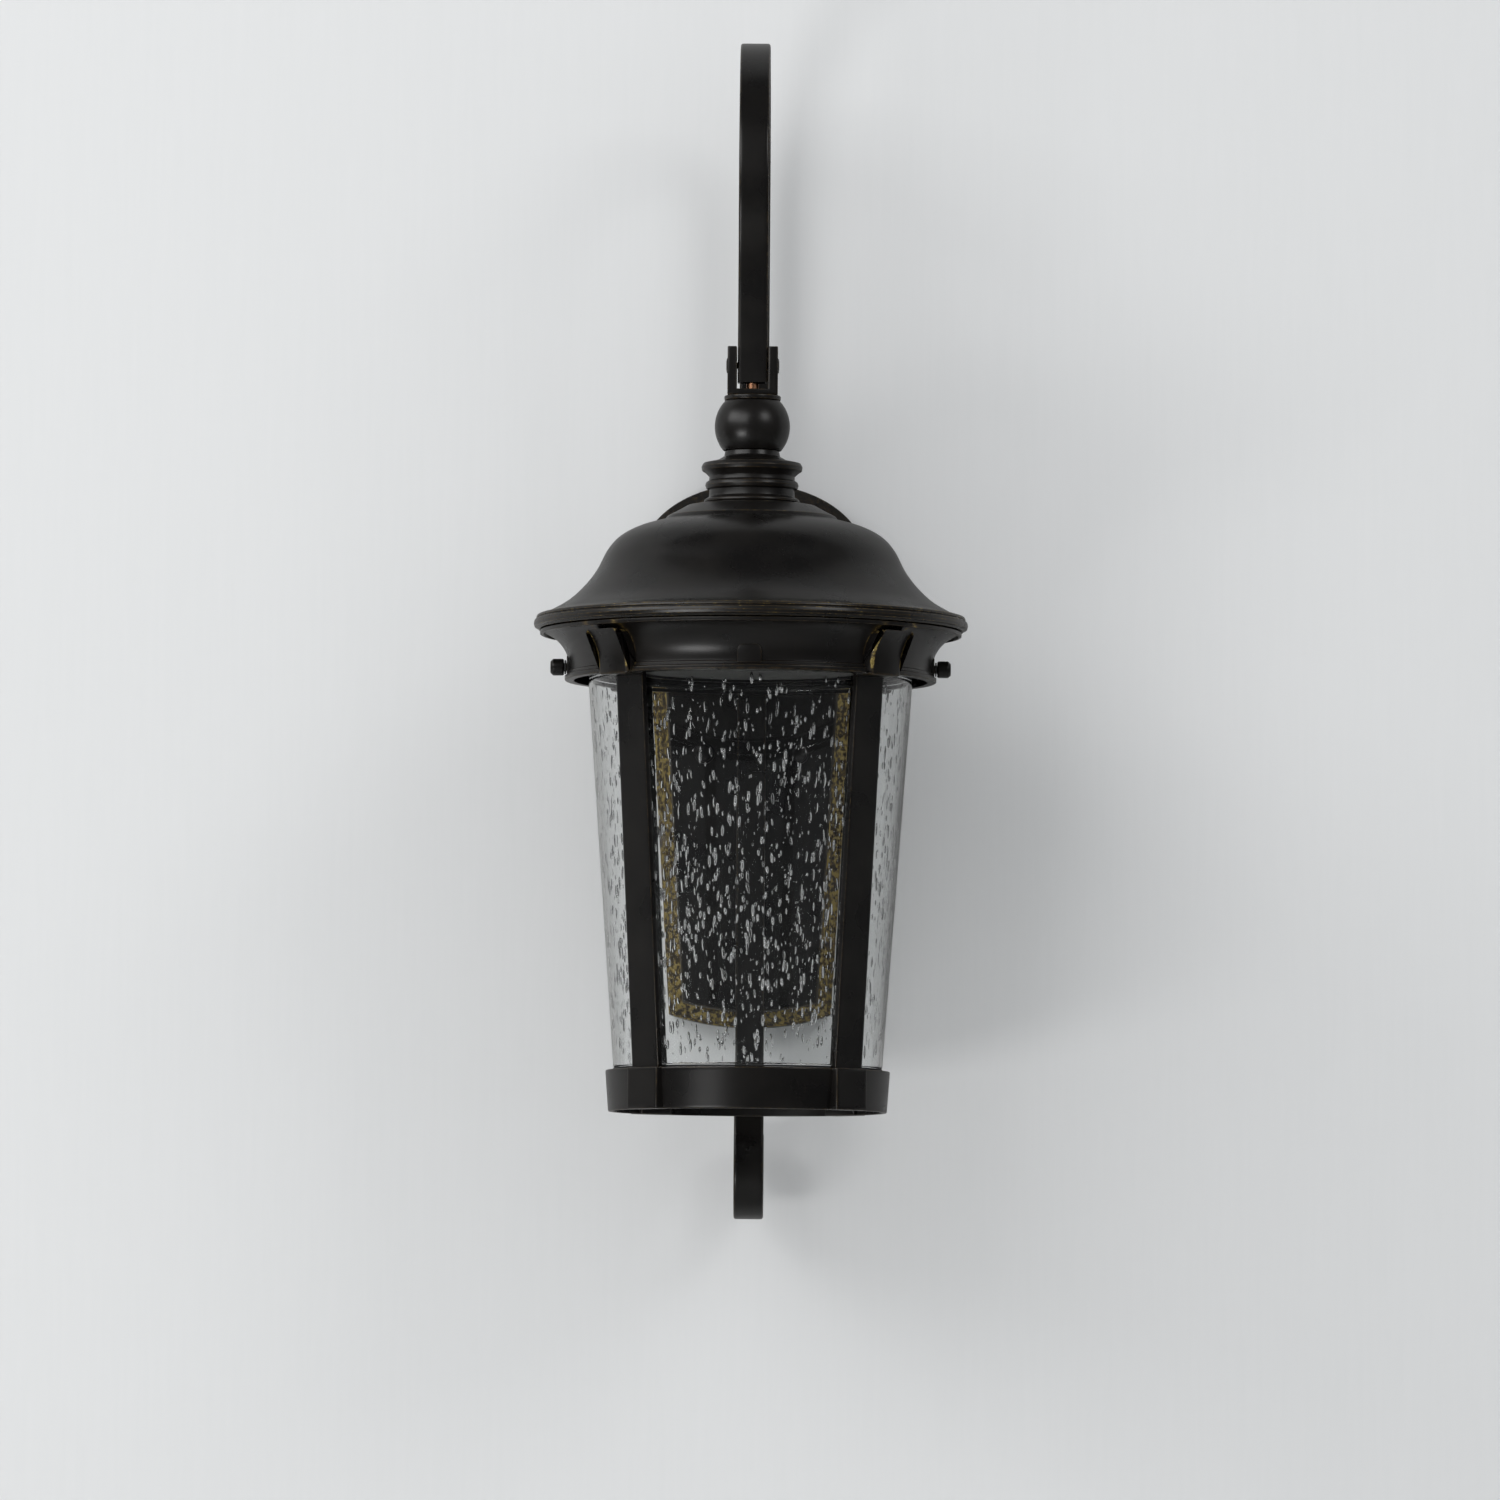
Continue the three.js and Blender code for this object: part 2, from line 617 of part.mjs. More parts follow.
function collarProfile() {
  const bore = NIPPLE.radius + GAP;
  return [
    [bore, ROOF.top + GAP],
    [25.2, ROOF.top + GAP],
    [24.6, 125.4],
    [22.3, 127],
    [22.3, 130.4],
    [24.2, 131],
    [24.6, 132.8],
    [23.6, 134.6],
    [22.5, 136.8],
    [23.8, 139],
    [26.2, 140.6],
    [26.6, 142.6],
    [24.6, 145],
    [18, 146.3],
    [14.4, 148.4],
    [14.2, BALL.bottom - GAP],
    [bore, BALL.bottom - GAP],
  ];
}

place(lanternAxis, 'clevis', buildClevis(), bronze);
for (const [side, sign] of [['left', -1], ['right', 1]]) {
  const pivotScrew = screw(M4, PIVOT_SCREW.length, PIVOT_SCREW.head, PIVOT_SCREW.head - M4, true);
  const mesh = place(lanternAxis, `pivot_screw_${side}`, pivotScrew, bronzeFixing);
  mesh.rotation.y = (sign * Math.PI) / 2;
  mesh.position.set(sign * CLEVIS.halfWidth, 0, CLEVIS.pivot);
}

const washerBore = NIPPLE.radius + GAP;
const washer = turnedRing(washerBore, WASHER_RADIUS, BALL.top + GAP, CLEVIS.bottom - GAP, SMALL_SIDES);
place(lanternAxis, 'top_washer', washer, bronze);
place(lanternAxis, 'ball_finial', turned(ballProfile(), SMALL_SIDES), bronze);
place(lanternAxis, 'collar', turned(collarProfile(), SMALL_SIDES), bronze);
place(
  lanternAxis,
  'threaded_nipple',
  turnedRing(NIPPLE.bore, NIPPLE.radius, NIPPLE.bottom, NIPPLE.top, 16),
  zincSteel,
);
const lockNutBottom = NIPPLE.bottom + 1;
const lockNutTop = lockNutBottom + LOCK_NUT.height;
const lockNut = turnedRing(LOCK_NUT.bore, LOCK_NUT.radius, lockNutBottom, lockNutTop, 6);
place(lanternAxis, 'lock_nut', lockNut, brass);

// ---------------------------------------------------------------- roof

function roofBell() {
  const waypoints = [
    ROOF.foot,
    [96.2, 71],
    [87.8, 78.7],
    [81.2, 87.3],
    [75.4, 98.3],
    [68.8, 105.5],
    [58.6, 110.8],
    ROOF.crease,
  ];
  const curve = new THREE.SplineCurve(waypoints.map(([r, z]) => new THREE.Vector2(r, z)));
  return curve.getPoints(9);
}

function roofOutside() {
  const dome = [[39.4, 118.7], [33.6, 121.9], [25.2, ROOF.top]].map(([r, z]) => new THREE.Vector2(r, z));
  return [...roofBell(), ...dome];
}

// The underside keeps the wall's thickness, measured square to the outside.
function roofUnderside() {
  const outside = roofOutside();
  return outside.map((point, i) => {
    const before = outside[Math.max(i - 1, 0)];
    const after = outside[Math.min(i + 1, outside.length - 1)];
    const along = after.clone().sub(before).normalize();
    return point.clone().add(new THREE.Vector2(-along.y, along.x).multiplyScalar(ROOF.wall));
  });
}

function buildRoof() {
  const bore = NIPPLE.radius + GAP;
  const pair = (point) => [point.x, point.y];
  const underside = roofUnderside().map(pair).reverse();
  const shell = turned([
    [RIM.inner, RIM.bottom],
    [RIM.radius - 1.2, RIM.bottom],
    [RIM.radius - 0.2, RIM.bottom + 1.4],
    [RIM.radius, RIM.top - 2],
    [RIM.radius - 1.2, RIM.top],
    ...roofOutside().map(pair),
    [bore, ROOF.top],
    [bore, ROOF.top - ROOF.wall],
    ...underside.filter((_, i) => i % 2 === 0),
  ]);
  // Lugs for the pan screws reach up to just inside the outer surface.
  const buried = roofOutside().map((point) => [point.x - 1, point.y - 1]);
  const envelope = solidOf(
    turned([[0, RIM.bottom], [ROOF.foot[0] - 1, RIM.bottom], ...buried, [0, ROOF.top - 1]]),
  );
  const lugs = PAN_SCREW_ANGLES.map((angle) => {
    const top = polar(PAN.screwRadius, angle, LUG.reach);
    const rod = rodBetween(polar(PAN.screwRadius, angle, LUG_BOTTOM), top, LUG.radius);
    return geometryOf(solidOf(rod).intersect(envelope));
  });
  const holes = PAN_SCREW_ANGLES.map((angle) =>
    rodBetween(
      polar(PAN.screwRadius, angle, LUG_BOTTOM - 1),
      polar(PAN.screwRadius, angle, LUG_BOTTOM + LUG.threadDepth),
      M3 + GAP,
    ),
  );
  return drilled(joined(shell, lugs), holes);
}

place(lanternAxis, 'roof', buildRoof(), bronze);
const roofGasket = turnedRing(ROOF_GASKET.inner, ROOF_GASKET.outer, ROOF_GASKET.bottom, ROOF_GASKET.top);
place(lanternAxis, 'roof_gasket', roofGasket, blackRubber);

// ---------------------------------------------------------------- roof pan and driver

function buildRoofPan() {
  const inner = PAN.radius - PAN.wall;
  const pan = turned([
    [PAN.radius, PAN.bottom],
    [PAN.radius, PAN.flange],
    [PAN.flangeRadius, PAN.flange],
    [PAN.flangeRadius, PAN.flange + FLANGE_THICKNESS],
    [inner, PAN.flange + FLANGE_THICKNESS],
    [inner, WEB_TOP],
    [PAN.wiringHole, WEB_TOP],
    [PAN.wiringHole, PAN.web],
    [inner, PAN.web],
    [inner, PAN.bottom],
  ]);
  const through = (radius, angle, z, holeRadius) =>
    rodBetween(polar(radius, angle, z - 4), polar(radius, angle, z + 4), holeRadius);
  return drilled(pan, [
    ...PAN_SCREW_ANGLES.map((angle) => through(PAN.screwRadius, angle, PAN.flange, M3 + GAP)),
    ...ENGINE_SCREW_ANGLES.map((angle) => through(ENGINE.screwRadius, angle, PAN.web, M3 + GAP)),
    through(ENGINE.leadHole, 0, PAN.web, 3),
  ]);
}

place(lanternAxis, 'roof_pan', buildRoofPan(), bronze);
PAN_SCREW_ANGLES.forEach((angle, i) => {
  const panScrew = screw(M3, PAN_SCREW.length, PAN_SCREW.head, PAN_SCREW.headHeight);
  const mesh = place(lanternAxis, `pan_screw_${i + 1}`, panScrew, zincSteel);
  mesh.rotation.x = Math.PI;
  mesh.position.copy(polar(PAN.screwRadius, angle, PAN.flange - GAP));
});

const driverBottom = WEB_TOP + GAP;
const driverMiddle = driverBottom + DRIVER.height / 2;
place(
  lanternAxis,
  'driver',
  closedSurface(
    boxBetween(
      [-DRIVER.length / 2, -DRIVER.width / 2, driverBottom],
      [DRIVER.length / 2, DRIVER.width / 2, driverBottom + DRIVER.height],
    ),
  ),
  driverCase,
);

function buildDriverLead() {
  const at = (x, z) => new THREE.Vector3(x, 0, z);
  const path = pathOf(
    new THREE.LineCurve3(at(0, ARM.tip - 0.5), at(0, 112)),
    new THREE.CubicBezierCurve3(at(0, 112), at(0, 98), at(-18, 95), at(-36, 92)),
    new THREE.CubicBezierCurve3(
      at(-36, 92),
      at(-62, 87.5),
      at(-72, driverMiddle),
      at(-DRIVER.length / 2 - GAP, driverMiddle),
    ),
  );
  return leadAlong(path, SHEATH_RADIUS, 30);
}

function buildLedLead() {
  const at = (x, z) => new THREE.Vector3(x, 0, z);
  const path = pathOf(
    new THREE.QuadraticBezierCurve3(
      at(DRIVER.length / 2 + GAP, driverMiddle),
      at(ENGINE.leadHole, driverMiddle),
      at(ENGINE.leadHole, 60),
    ),
    new THREE.LineCurve3(at(ENGINE.leadHole, 60), at(ENGINE.leadHole, BOARD.top + GAP)),
  );
  return leadAlong(path, LED_LEAD_RADIUS, 9);
}

place(lanternAxis, 'driver_lead', buildDriverLead(), blackLead);
place(lanternAxis, 'led_lead', buildLedLead(), whiteLead);

// ---------------------------------------------------------------- LED engine

const engineInner = ENGINE.radius - ENGINE.wall;

function buildHeatSpreader() {
  const disc = turnedDisc(engineInner - 0.4, BOARD.top + GAP, SPREADER_TOP);
  const threads = ENGINE_SCREW_ANGLES.map((angle) =>
    rodBetween(
      polar(ENGINE.screwRadius, angle, SPREADER_TOP - 5),
      polar(ENGINE.screwRadius, angle, SPREADER_TOP + 1),
      M3 + GAP,
    ),
  );
  const leadHole = rodBetween(polar(ENGINE.leadHole, 0, 40), polar(ENGINE.leadHole, 0, 60), 3);
  return drilled(disc, [...threads, leadHole]);
}

const engineCan = turned([
  [ENGINE.lip, PAN.bottom],
  [ENGINE.radius, PAN.bottom],
  [ENGINE.radius, SPREADER_TOP],
  [engineInner, SPREADER_TOP],
  [engineInner, PAN.bottom + ENGINE.lipThickness],
  [ENGINE.lip, PAN.bottom + ENGINE.lipThickness],
], SMALL_SIDES);
const lensBottom = PAN.bottom + ENGINE.lipThickness + GAP;
const lensTop = lensBottom + LENS_THICKNESS;
const boardBottom = BOARD.top - BOARD.thickness;
const lens = turnedDisc(engineInner - 0.4, lensBottom, lensTop);
const board = turnedDisc(BOARD.radius, boardBottom, BOARD.top);
const reflector = turned([
  [REFLECTOR.mouth - REFLECTOR.wall, lensTop + GAP],
  [REFLECTOR.mouth, lensTop + GAP],
  [REFLECTOR.top, boardBottom - GAP],
  [REFLECTOR.top - REFLECTOR.wall, boardBottom - GAP],
], SMALL_SIDES);

place(lanternAxis, 'engine_can', engineCan, bronze);
place(lanternAxis, 'heat_spreader', buildHeatSpreader(), aluminium);
place(lanternAxis, 'led_board', board, boardWhite);
place(lanternAxis, 'reflector', reflector, whitePaint);
place(lanternAxis, 'diffuser_lens', lens, frosted);
ENGINE_SCREW_ANGLES.forEach((angle, i) => {
  const engineScrew = screw(M3, ENGINE_SCREW.length, ENGINE_SCREW.head, ENGINE_SCREW.headHeight);
  const mesh = place(lanternAxis, `engine_screw_${i + 1}`, engineScrew, zincSteel);
  mesh.position.copy(polar(ENGINE.screwRadius, angle, WEB_TOP + GAP));
});

// ---------------------------------------------------------------- posts and their screws

const postSlope = (POST_FACE.topRadius - POST_FACE.lowRadius) / (POST_FACE.topHeight - POST_FACE.lowHeight);
const postFaceAt = (z) => POST_FACE.topRadius + postSlope * (z - POST_FACE.topHeight);
const postMiddle = (POST.top + POST.bottom) / 2;
const postLength = (POST.top - POST.bottom) * Math.hypot(1, postSlope);

// A post's own frame: x out through its face, z up along the bar, origin in the middle of its face.
function postFrame(angle) {
  return new THREE.Matrix4()
    .makeRotationZ(radians(angle))
    .multiply(new THREE.Matrix4().makeTranslation(postFaceAt(postMiddle), 0, postMiddle))
    .multiply(new THREE.Matrix4().makeRotationY(Math.atan(postSlope)));
}

const postScrewZ = (POST.screwHeight - postMiddle) * Math.hypot(1, postSlope);

function postBar(clearance, extraLength) {
  const halfWidth = POST.width / 2 + clearance;
  return boxBetween(
    [-POST.thickness - clearance, -halfWidth, -postLength / 2 - clearance],
    [clearance, halfWidth, postLength / 2 + extraLength],
  );
}

function buildPost() {
  const head = screw(M4 + GAP, 6, POST_SCREW.head + GAP, POST_SCREW.head - M4, true);
  head.rotateY(-Math.PI / 2);
  head.translate(-POST.thickness - 0.01, 0, postScrewZ);
  return drilled(postBar(0, 0), [head]);
}

const postGeometry = buildPost();
const postScrewGeometry = screw(M4, POST_SCREW.length, POST_SCREW.head, POST_SCREW.head - M4, true);
postScrewGeometry.rotateY(-Math.PI / 2);
postScrewGeometry.translate(-POST.thickness, 0, postScrewZ);

POST_NAMES.forEach((corner, i) => {
  const frame = new THREE.Group();
  frame.applyMatrix4(postFrame(POST_ANGLES[i]));
  lanternAxis.add(frame);
  place(frame, `post_${corner}`, postGeometry, bronze);
  place(frame, `post_screw_${corner}`, postScrewGeometry, zincSteel);
});

// ---------------------------------------------------------------- gallery ring

function covePoints(radius, steps) {
  const centre = GALLERY.throat + GALLERY.coveRadius;
  const topAngle = Math.acos((GALLERY.mouth - centre) / GALLERY.coveRadius);
  return Array.from({ length: steps + 1 }, (_, i) => {
    const angle = THREE.MathUtils.lerp(Math.PI, topAngle, i / steps);
    return [centre + radius * Math.cos(angle), GALLERY.coveBase + radius * Math.sin(angle)];
  });
}

// A solid block behind and in front of the cove, with a flat face that follows it.
function buildCoveBlock(angle) {
  const { bottom, top, foot, coveRadius, width } = BLOCK;
  const arcBase = bottom + 3;
  const arcEnd = Math.asin((top - arcBase) / coveRadius);
  const shape = new THREE.Shape();
  shape.moveTo(postFaceAt(bottom) + GAP, bottom);
  shape.lineTo(foot, bottom);
  shape.absarc(foot + coveRadius, arcBase, coveRadius, Math.PI, Math.PI - arcEnd, true);
  shape.lineTo(postFaceAt(top) + GAP, top);
  shape.closePath();
  const block = new THREE.ExtrudeGeometry(shape, { depth: width, bevelEnabled: false, curveSegments: 6 });
  block.rotateX(Math.PI / 2);
  block.translate(0, width / 2, 0);
  block.rotateZ(radians(angle));
  return block;
}

// A raised pad with a rounded top, square to the radius.
function buildPad(angle) {
  const half = PAD.width / 2;
  const round = PAD.corner;
  const shape = new THREE.Shape();
  shape.moveTo(-half, PAD.bottom);
  shape.lineTo(half, PAD.bottom);
  shape.absarc(half - round, PAD.top - round, round, 0, Math.PI / 2, false);
  shape.absarc(-half + round, PAD.top - round, round, Math.PI / 2, Math.PI, false);
  shape.closePath();
  const back = GALLERY.throat - 1.2;
  const depth = PAD.face - back;
  const pad = new THREE.ExtrudeGeometry(shape, { depth, bevelEnabled: false, curveSegments: 3 });
  pad.rotateX(Math.PI / 2);
  pad.translate(0, -back, 0);
  pad.rotateZ(radians(angle));
  return pad;
}

function buildGallery() {
  const { throat, coveRadius, coveBase, mouth, bead, bottom, wall } = GALLERY;
  const rimTop = RIM.bottom - 0.4;
  const innerCove = covePoints(coveRadius + wall, 4).filter(([, z]) => z < rimTop - 0.5);
  const ring = turned([
    [throat - wall, bottom],
    [bead, bottom],
    [bead, bottom + 2.6],
    [throat, bottom + 3.6],
    ...covePoints(coveRadius, 4),
    [mouth - 0.6, rimTop],
    [105, rimTop],
    ...innerCove.reverse(),
  ]);
  const solid = joined(ring, [...POST_ANGLES.map(buildCoveBlock), ...PAD_ANGLES.map(buildPad)]);
  const screwHoles = POST_ANGLES.map((angle) => {
    const hole = rodBetween(
      new THREE.Vector3(-POST.thickness, 0, postScrewZ),
      new THREE.Vector3(6.2, 0, postScrewZ),
      M4 + GAP,
    );
    return hole.applyMatrix4(postFrame(angle));
  });
  const thumbscrewHoles = [0, 180].map((angle) => {
    const inside = polar(throat - 5, angle, THUMBSCREW.z);
    return rodBetween(inside, polar(PAD.face + 3, angle, THUMBSCREW.z), THUMBSCREW.neck + GAP);
  });
  return drilled(solid, [...screwHoles, ...thumbscrewHoles]);
}

place(lanternAxis, 'gallery_ring', buildGallery(), bronze);

// ---------------------------------------------------------------- bottom ring and glass

function buildBottomRing() {
  const { top, topRadius, bottom, bottomRadius, ledge, ledgeDepth } = RING;
  const ring = turned([
    [bottomRadius - 2.2, bottom],
    [bottomRadius, bottom],
    [topRadius, top],
    [ledge, top],
    [ledge, top - ledgeDepth],
    [topRadius - 2.8, top - ledgeDepth],
  ]);
  const feet = POST_ANGLES.map((angle) => {
    const foot = boxBetween([FOOT.inner, -FOOT.width / 2, bottom], [FOOT.outer, FOOT.width / 2, top]);
    return foot.rotateZ(radians(angle));
  });
  const pockets = POST_ANGLES.map((angle) => postBar(GAP, 5).applyMatrix4(postFrame(angle)));
  return drilled(joined(ring, feet), pockets);
}

const glass = turned([
  [GLASS.bottomRadius - GLASS.wall, GLASS.bottom],
  [GLASS.bottomRadius, GLASS.bottom],
  [GLASS.topRadius, GLASS.top],
  [GLASS.topRadius - GLASS.wall, GLASS.top],
]);
const throatInside = GLASS.topRadius - GLASS.wall;
const glassTopGasket = turnedRing(throatInside, PAN.radius, GLASS.top + GAP, PAN.bottom - GAP);
const footBottom = RING.top + GAP;
const glassFootGasket = turnedRing(FOOT_GASKET.inner, FOOT_GASKET.outer, footBottom, GLASS.bottom - GAP);

place(lanternAxis, 'bottom_ring', buildBottomRing(), bronze);
place(lanternAxis, 'glass_shade', glass, clearGlass);
place(lanternAxis, 'glass_top_gasket', glassTopGasket, blackRubber);
place(lanternAxis, 'glass_foot_gasket', glassFootGasket, blackRubber);

// ---------------------------------------------------------------- thumbscrews

const { head, neck, headBack, headFront, tip } = THUMBSCREW;
const thumbscrew = turned(
  [
    [0, tip],
    [1.5, tip],
    [neck, tip + 0.8],
    [neck, headBack],
    [head - 0.7, headBack],
    [head, headBack + 0.8],
    [head, headFront - 1.4],
    [head - 1.2, headFront - 0.2],
    [0, headFront],
  ],
  16,
);
const screwWasher = turnedRing(neck + GAP, 3.6, PAD.face + 0.4, headBack - GAP, 16);

for (const [side, angle] of [['left', Math.PI], ['right', 0]]) {
  const frame = new THREE.Group();
  frame.rotation.z = angle;
  frame.position.z = THUMBSCREW.z;
  lanternAxis.add(frame);
  const outwards = new THREE.Group();
  outwards.rotation.y = Math.PI / 2;
  frame.add(outwards);
  place(outwards, `thumbscrew_${side}`, thumbscrew, bronzeFixing);
  place(outwards, `thumbscrew_washer_${side}`, screwWasher, blackRubber);
}

export default lantern;
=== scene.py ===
"""Outdoor wall lantern: the detailed visual model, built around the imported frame.

The frame's axes: +Z up, the wall is the plane y = 0 and the lantern's front faces -Y. Shapes are
written in millimetres and scaled to metres as their meshes are made.
"""

import json
import math
import random

import bmesh
import bpy
from mathutils import Matrix, Vector


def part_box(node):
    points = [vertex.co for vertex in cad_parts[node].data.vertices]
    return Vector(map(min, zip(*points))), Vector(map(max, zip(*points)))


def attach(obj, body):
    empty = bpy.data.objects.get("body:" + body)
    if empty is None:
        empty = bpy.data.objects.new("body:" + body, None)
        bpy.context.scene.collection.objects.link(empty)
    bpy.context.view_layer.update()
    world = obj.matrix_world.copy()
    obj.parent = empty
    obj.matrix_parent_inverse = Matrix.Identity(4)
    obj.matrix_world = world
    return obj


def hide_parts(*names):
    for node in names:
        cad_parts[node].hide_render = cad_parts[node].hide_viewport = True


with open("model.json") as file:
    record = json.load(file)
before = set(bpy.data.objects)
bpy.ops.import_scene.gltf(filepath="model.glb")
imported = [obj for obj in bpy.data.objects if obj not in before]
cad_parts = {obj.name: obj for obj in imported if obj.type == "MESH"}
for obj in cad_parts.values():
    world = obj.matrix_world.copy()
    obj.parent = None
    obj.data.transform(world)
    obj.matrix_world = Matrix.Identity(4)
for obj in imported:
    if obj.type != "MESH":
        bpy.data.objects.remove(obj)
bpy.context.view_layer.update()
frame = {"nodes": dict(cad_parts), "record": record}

MM = 0.001

LOW = {name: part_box(name)[0] / MM for name in frame["nodes"]}
HIGH = {name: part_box(name)[1] / MM for name in frame["nodes"]}
AXIS = -(LOW["ball_finial"].y + HIGH["ball_finial"].y) / 2  # lantern axis, in front of the wall

# Each CAD node's body and material slot.
BODY = {node: body for body, nodes in frame["record"]["behaviour"]["bodies"].items() for node in nodes}
SLOT = {part["node"]: part["material_slot"] for part in frame["record"]["subparts"]}

GAP = 0.3  # clearance between pieces


def mid_height(node):
    return (LOW[node].z + HIGH[node].z) / 2


scene = bpy.context.scene

# ---- camera

CAMERA_DISTANCE = 5500  # from the lantern's axis
CAMERA_HEIGHT = -357
CAMERA_SIDE = 40
CAMERA_ROLL = 0.42  # degrees, leaning the picture's top to the right
AIM_HEIGHT = -6.5
LENS = 252


def aim(thing, place, target):
    thing.location = Vector(place) * MM
    towards = Vector(target) - Vector(place)
    thing.rotation_euler = towards.to_track_quat("-Z", "Y").to_euler()


camera = bpy.data.objects.new("camera", bpy.data.cameras.new("camera"))
camera.data.lens = LENS
camera.data.clip_end = 50
scene.collection.objects.link(camera)
aim(camera, (CAMERA_SIDE, -AXIS - CAMERA_DISTANCE, CAMERA_HEIGHT), (0, -AXIS, AIM_HEIGHT))
upright = camera.rotation_euler.to_matrix()
camera.rotation_euler = (upright @ Matrix.Rotation(math.radians(CAMERA_ROLL), 3, "Z")).to_euler()
scene.camera = camera

# ---- node helpers


class Nodes:
    """A short way to write a node tree."""

    def __init__(self, name):
        self.material = bpy.data.materials.new(name)
        self.material.use_nodes = True
        self.tree = self.material.node_tree
        self.shader = self.tree.nodes["Principled BSDF"]
        self.output = self.tree.nodes["Material Output"]

    def link(self, source, target):
        self.tree.links.new(source, target)

    def set(self, **values):
        for label, value in values.items():
            self.shader.inputs[label.replace("_", " ")].default_value = value

    def new(self, kind, **values):
        node = self.tree.nodes.new("ShaderNode" + kind)
        for label, value in values.items():
            node.inputs[label.replace("_", " ")].default_value = value
        return node

    def feed(self, socket, value):
        """Gives a socket another node's result, a number or a colour."""
        if isinstance(value, bpy.types.NodeSocket):
            self.link(value, socket)
        else:
            socket.default_value = (*value, 1) if isinstance(value, tuple) else value

    def place(self, stretch=(1, 1, 1)):
        """The point on the piece in metres, which moves with the piece."""
        mapping = self.new("Mapping", Scale=stretch)
        self.link(self.new("TexCoord").outputs["Object"], mapping.inputs["Vector"])
        return mapping.outputs["Vector"]

    def noise(self, grain, stretch=(1, 1, 1), detail=3.0, roughness=0.5):
        """Noise from 0 to 1 whose features are about grain millimetres wide."""
        node = self.new("TexNoise", Scale=1 / (grain * MM), Detail=detail, Roughness=roughness)
        self.link(self.place(stretch), node.inputs["Vector"])
        return node.outputs["Fac"]

    def math(self, operation, a, b):
        node = self.new("Math")
        node.operation = operation
        self.feed(node.inputs[0], a)
        self.feed(node.inputs[1], b)
        return node.outputs[0]

    def ramp(self, value, low, high, start=0.0, end=1.0):
        """Maps value from low..high to start..end, and holds it there outside."""
        node = self.new("MapRange", From_Min=low, From_Max=high, To_Min=start, To_Max=end)
        self.link(value, node.inputs["Value"])
        return node.outputs["Result"]

    def colour(self, factor, first, second):
        node = self.new("Mix")
        node.data_type = "RGBA"
        self.link(factor, node.inputs["Factor"])
        self.feed(node.inputs[6], first)
        self.feed(node.inputs[7], second)
        return node.outputs[2]

    def bump(self, height, depth, strength=1.0):
        """Relief with a full range of depth millimetres. Calls stack."""
        node = self.new("Bump", Distance=depth * MM, Strength=strength)
        self.link(height, node.inputs["Height"])
        socket = self.shader.inputs["Normal"]
        if socket.is_linked:
            self.link(socket.links[0].from_socket, node.inputs["Normal"])
        self.link(node.outputs["Normal"], socket)

    def to(self, label, value):
        self.link(value, self.shader.inputs[label])


# ---- materials


def bronze_finish(name, rubbed=1.0):
    """Near-black satin paint with brown and gold rubbed through where the attribute of rubbed edges is high.
    On the gallery that attribute also carries painted highlight.
    """
    n = Nodes(name)
    cloud = n.noise(28, detail=4)
    streak = n.noise(1.1, stretch=(1, 1, 0.07), detail=3, roughness=0.6)
    speck = n.noise(2.4, detail=5, roughness=0.65)
    paint = n.colour(n.ramp(cloud, 0.35, 0.7), (0.0042, 0.0038, 0.0036), (0.0085, 0.0072, 0.0062))
    paint = n.colour(n.ramp(streak, 0.55, 0.8, 0, 0.4), paint, (0.014, 0.011, 0.0085))
    ragged = n.math("MULTIPLY", n.ramp(speck, 0.32, 0.62, 0.25, 1.35), n.ramp(streak, 0.3, 0.65, 0.7, 1.15))
    attribute = n.new("Attribute")
    attribute.attribute_name = "rub_and_highlight"
    rub_and_highlight = n.math("MULTIPLY", n.math("MULTIPLY", attribute.outputs["Fac"], ragged), rubbed)
    paint = n.colour(n.ramp(rub_and_highlight, 0.15, 0.6, 0, 0.85), paint, (0.07, 0.046, 0.017))
    gold = n.ramp(rub_and_highlight, 0.5, 0.9)
    n.to("Base Color", n.colour(gold, paint, (0.6, 0.46, 0.16)))
    n.to("Metallic", n.ramp(rub_and_highlight, 0.4, 1.0, 0.0, 0.8))
    n.set(Specular_IOR_Level=0.42)
    n.to("Roughness", n.math("SUBTRACT", n.ramp(cloud, 0.3, 0.7, 0.25, 0.33), n.math("MULTIPLY", gold, 0.06)))
    n.bump(n.noise(0.45, detail=2), 0.01, 0.4)
    n.bump(streak, 0.015, 0.25)
    return n.material


def metal_finish(name, low, high, roughness, streaks=(1, 1, 1), grain=0.8):
    n = Nodes(name)
    fine = n.noise(grain, stretch=streaks, detail=4, roughness=0.6)
    broad = n.noise(9, detail=3)
    tone = n.math("ADD", n.math("MULTIPLY", fine, 0.6), n.math("MULTIPLY", broad, 0.4))
    n.to("Base Color", n.colour(n.ramp(tone, 0.35, 0.65), low, high))
    n.to("Roughness", n.ramp(tone, 0.3, 0.7, roughness - 0.07, roughness + 0.1))
    n.set(Metallic=1.0)
    n.bump(fine, 0.02, 0.4)
    return n.material


def plain_finish(name, low, high, roughness, grain=1.2, depth=0.02):
    """Paint, plastic or rubber: two close tones, uneven gloss and a fine surface."""
    n = Nodes(name)
    fine = n.noise(grain)
    broad = n.noise(grain * 14)
    n.to("Base Color", n.colour(n.ramp(broad, 0.35, 0.65), low, high))
    n.to("Roughness", n.ramp(fine, 0.3, 0.7, roughness - 0.06, roughness + 0.06))
    n.bump(fine, depth, 0.6)
    return n.material


def foam_finish():
    n = Nodes("grey_foam")
    cells = n.new("TexVoronoi", Scale=1 / (0.7 * MM))
    n.link(n.place(), cells.inputs["Vector"])
    n.to("Base Color", n.colour(cells.outputs["Distance"], (0.035, 0.035, 0.036), (0.075, 0.075, 0.077)))
    n.set(Roughness=0.95)
    n.bump(cells.outputs["Distance"], 0.15)
    return n.material


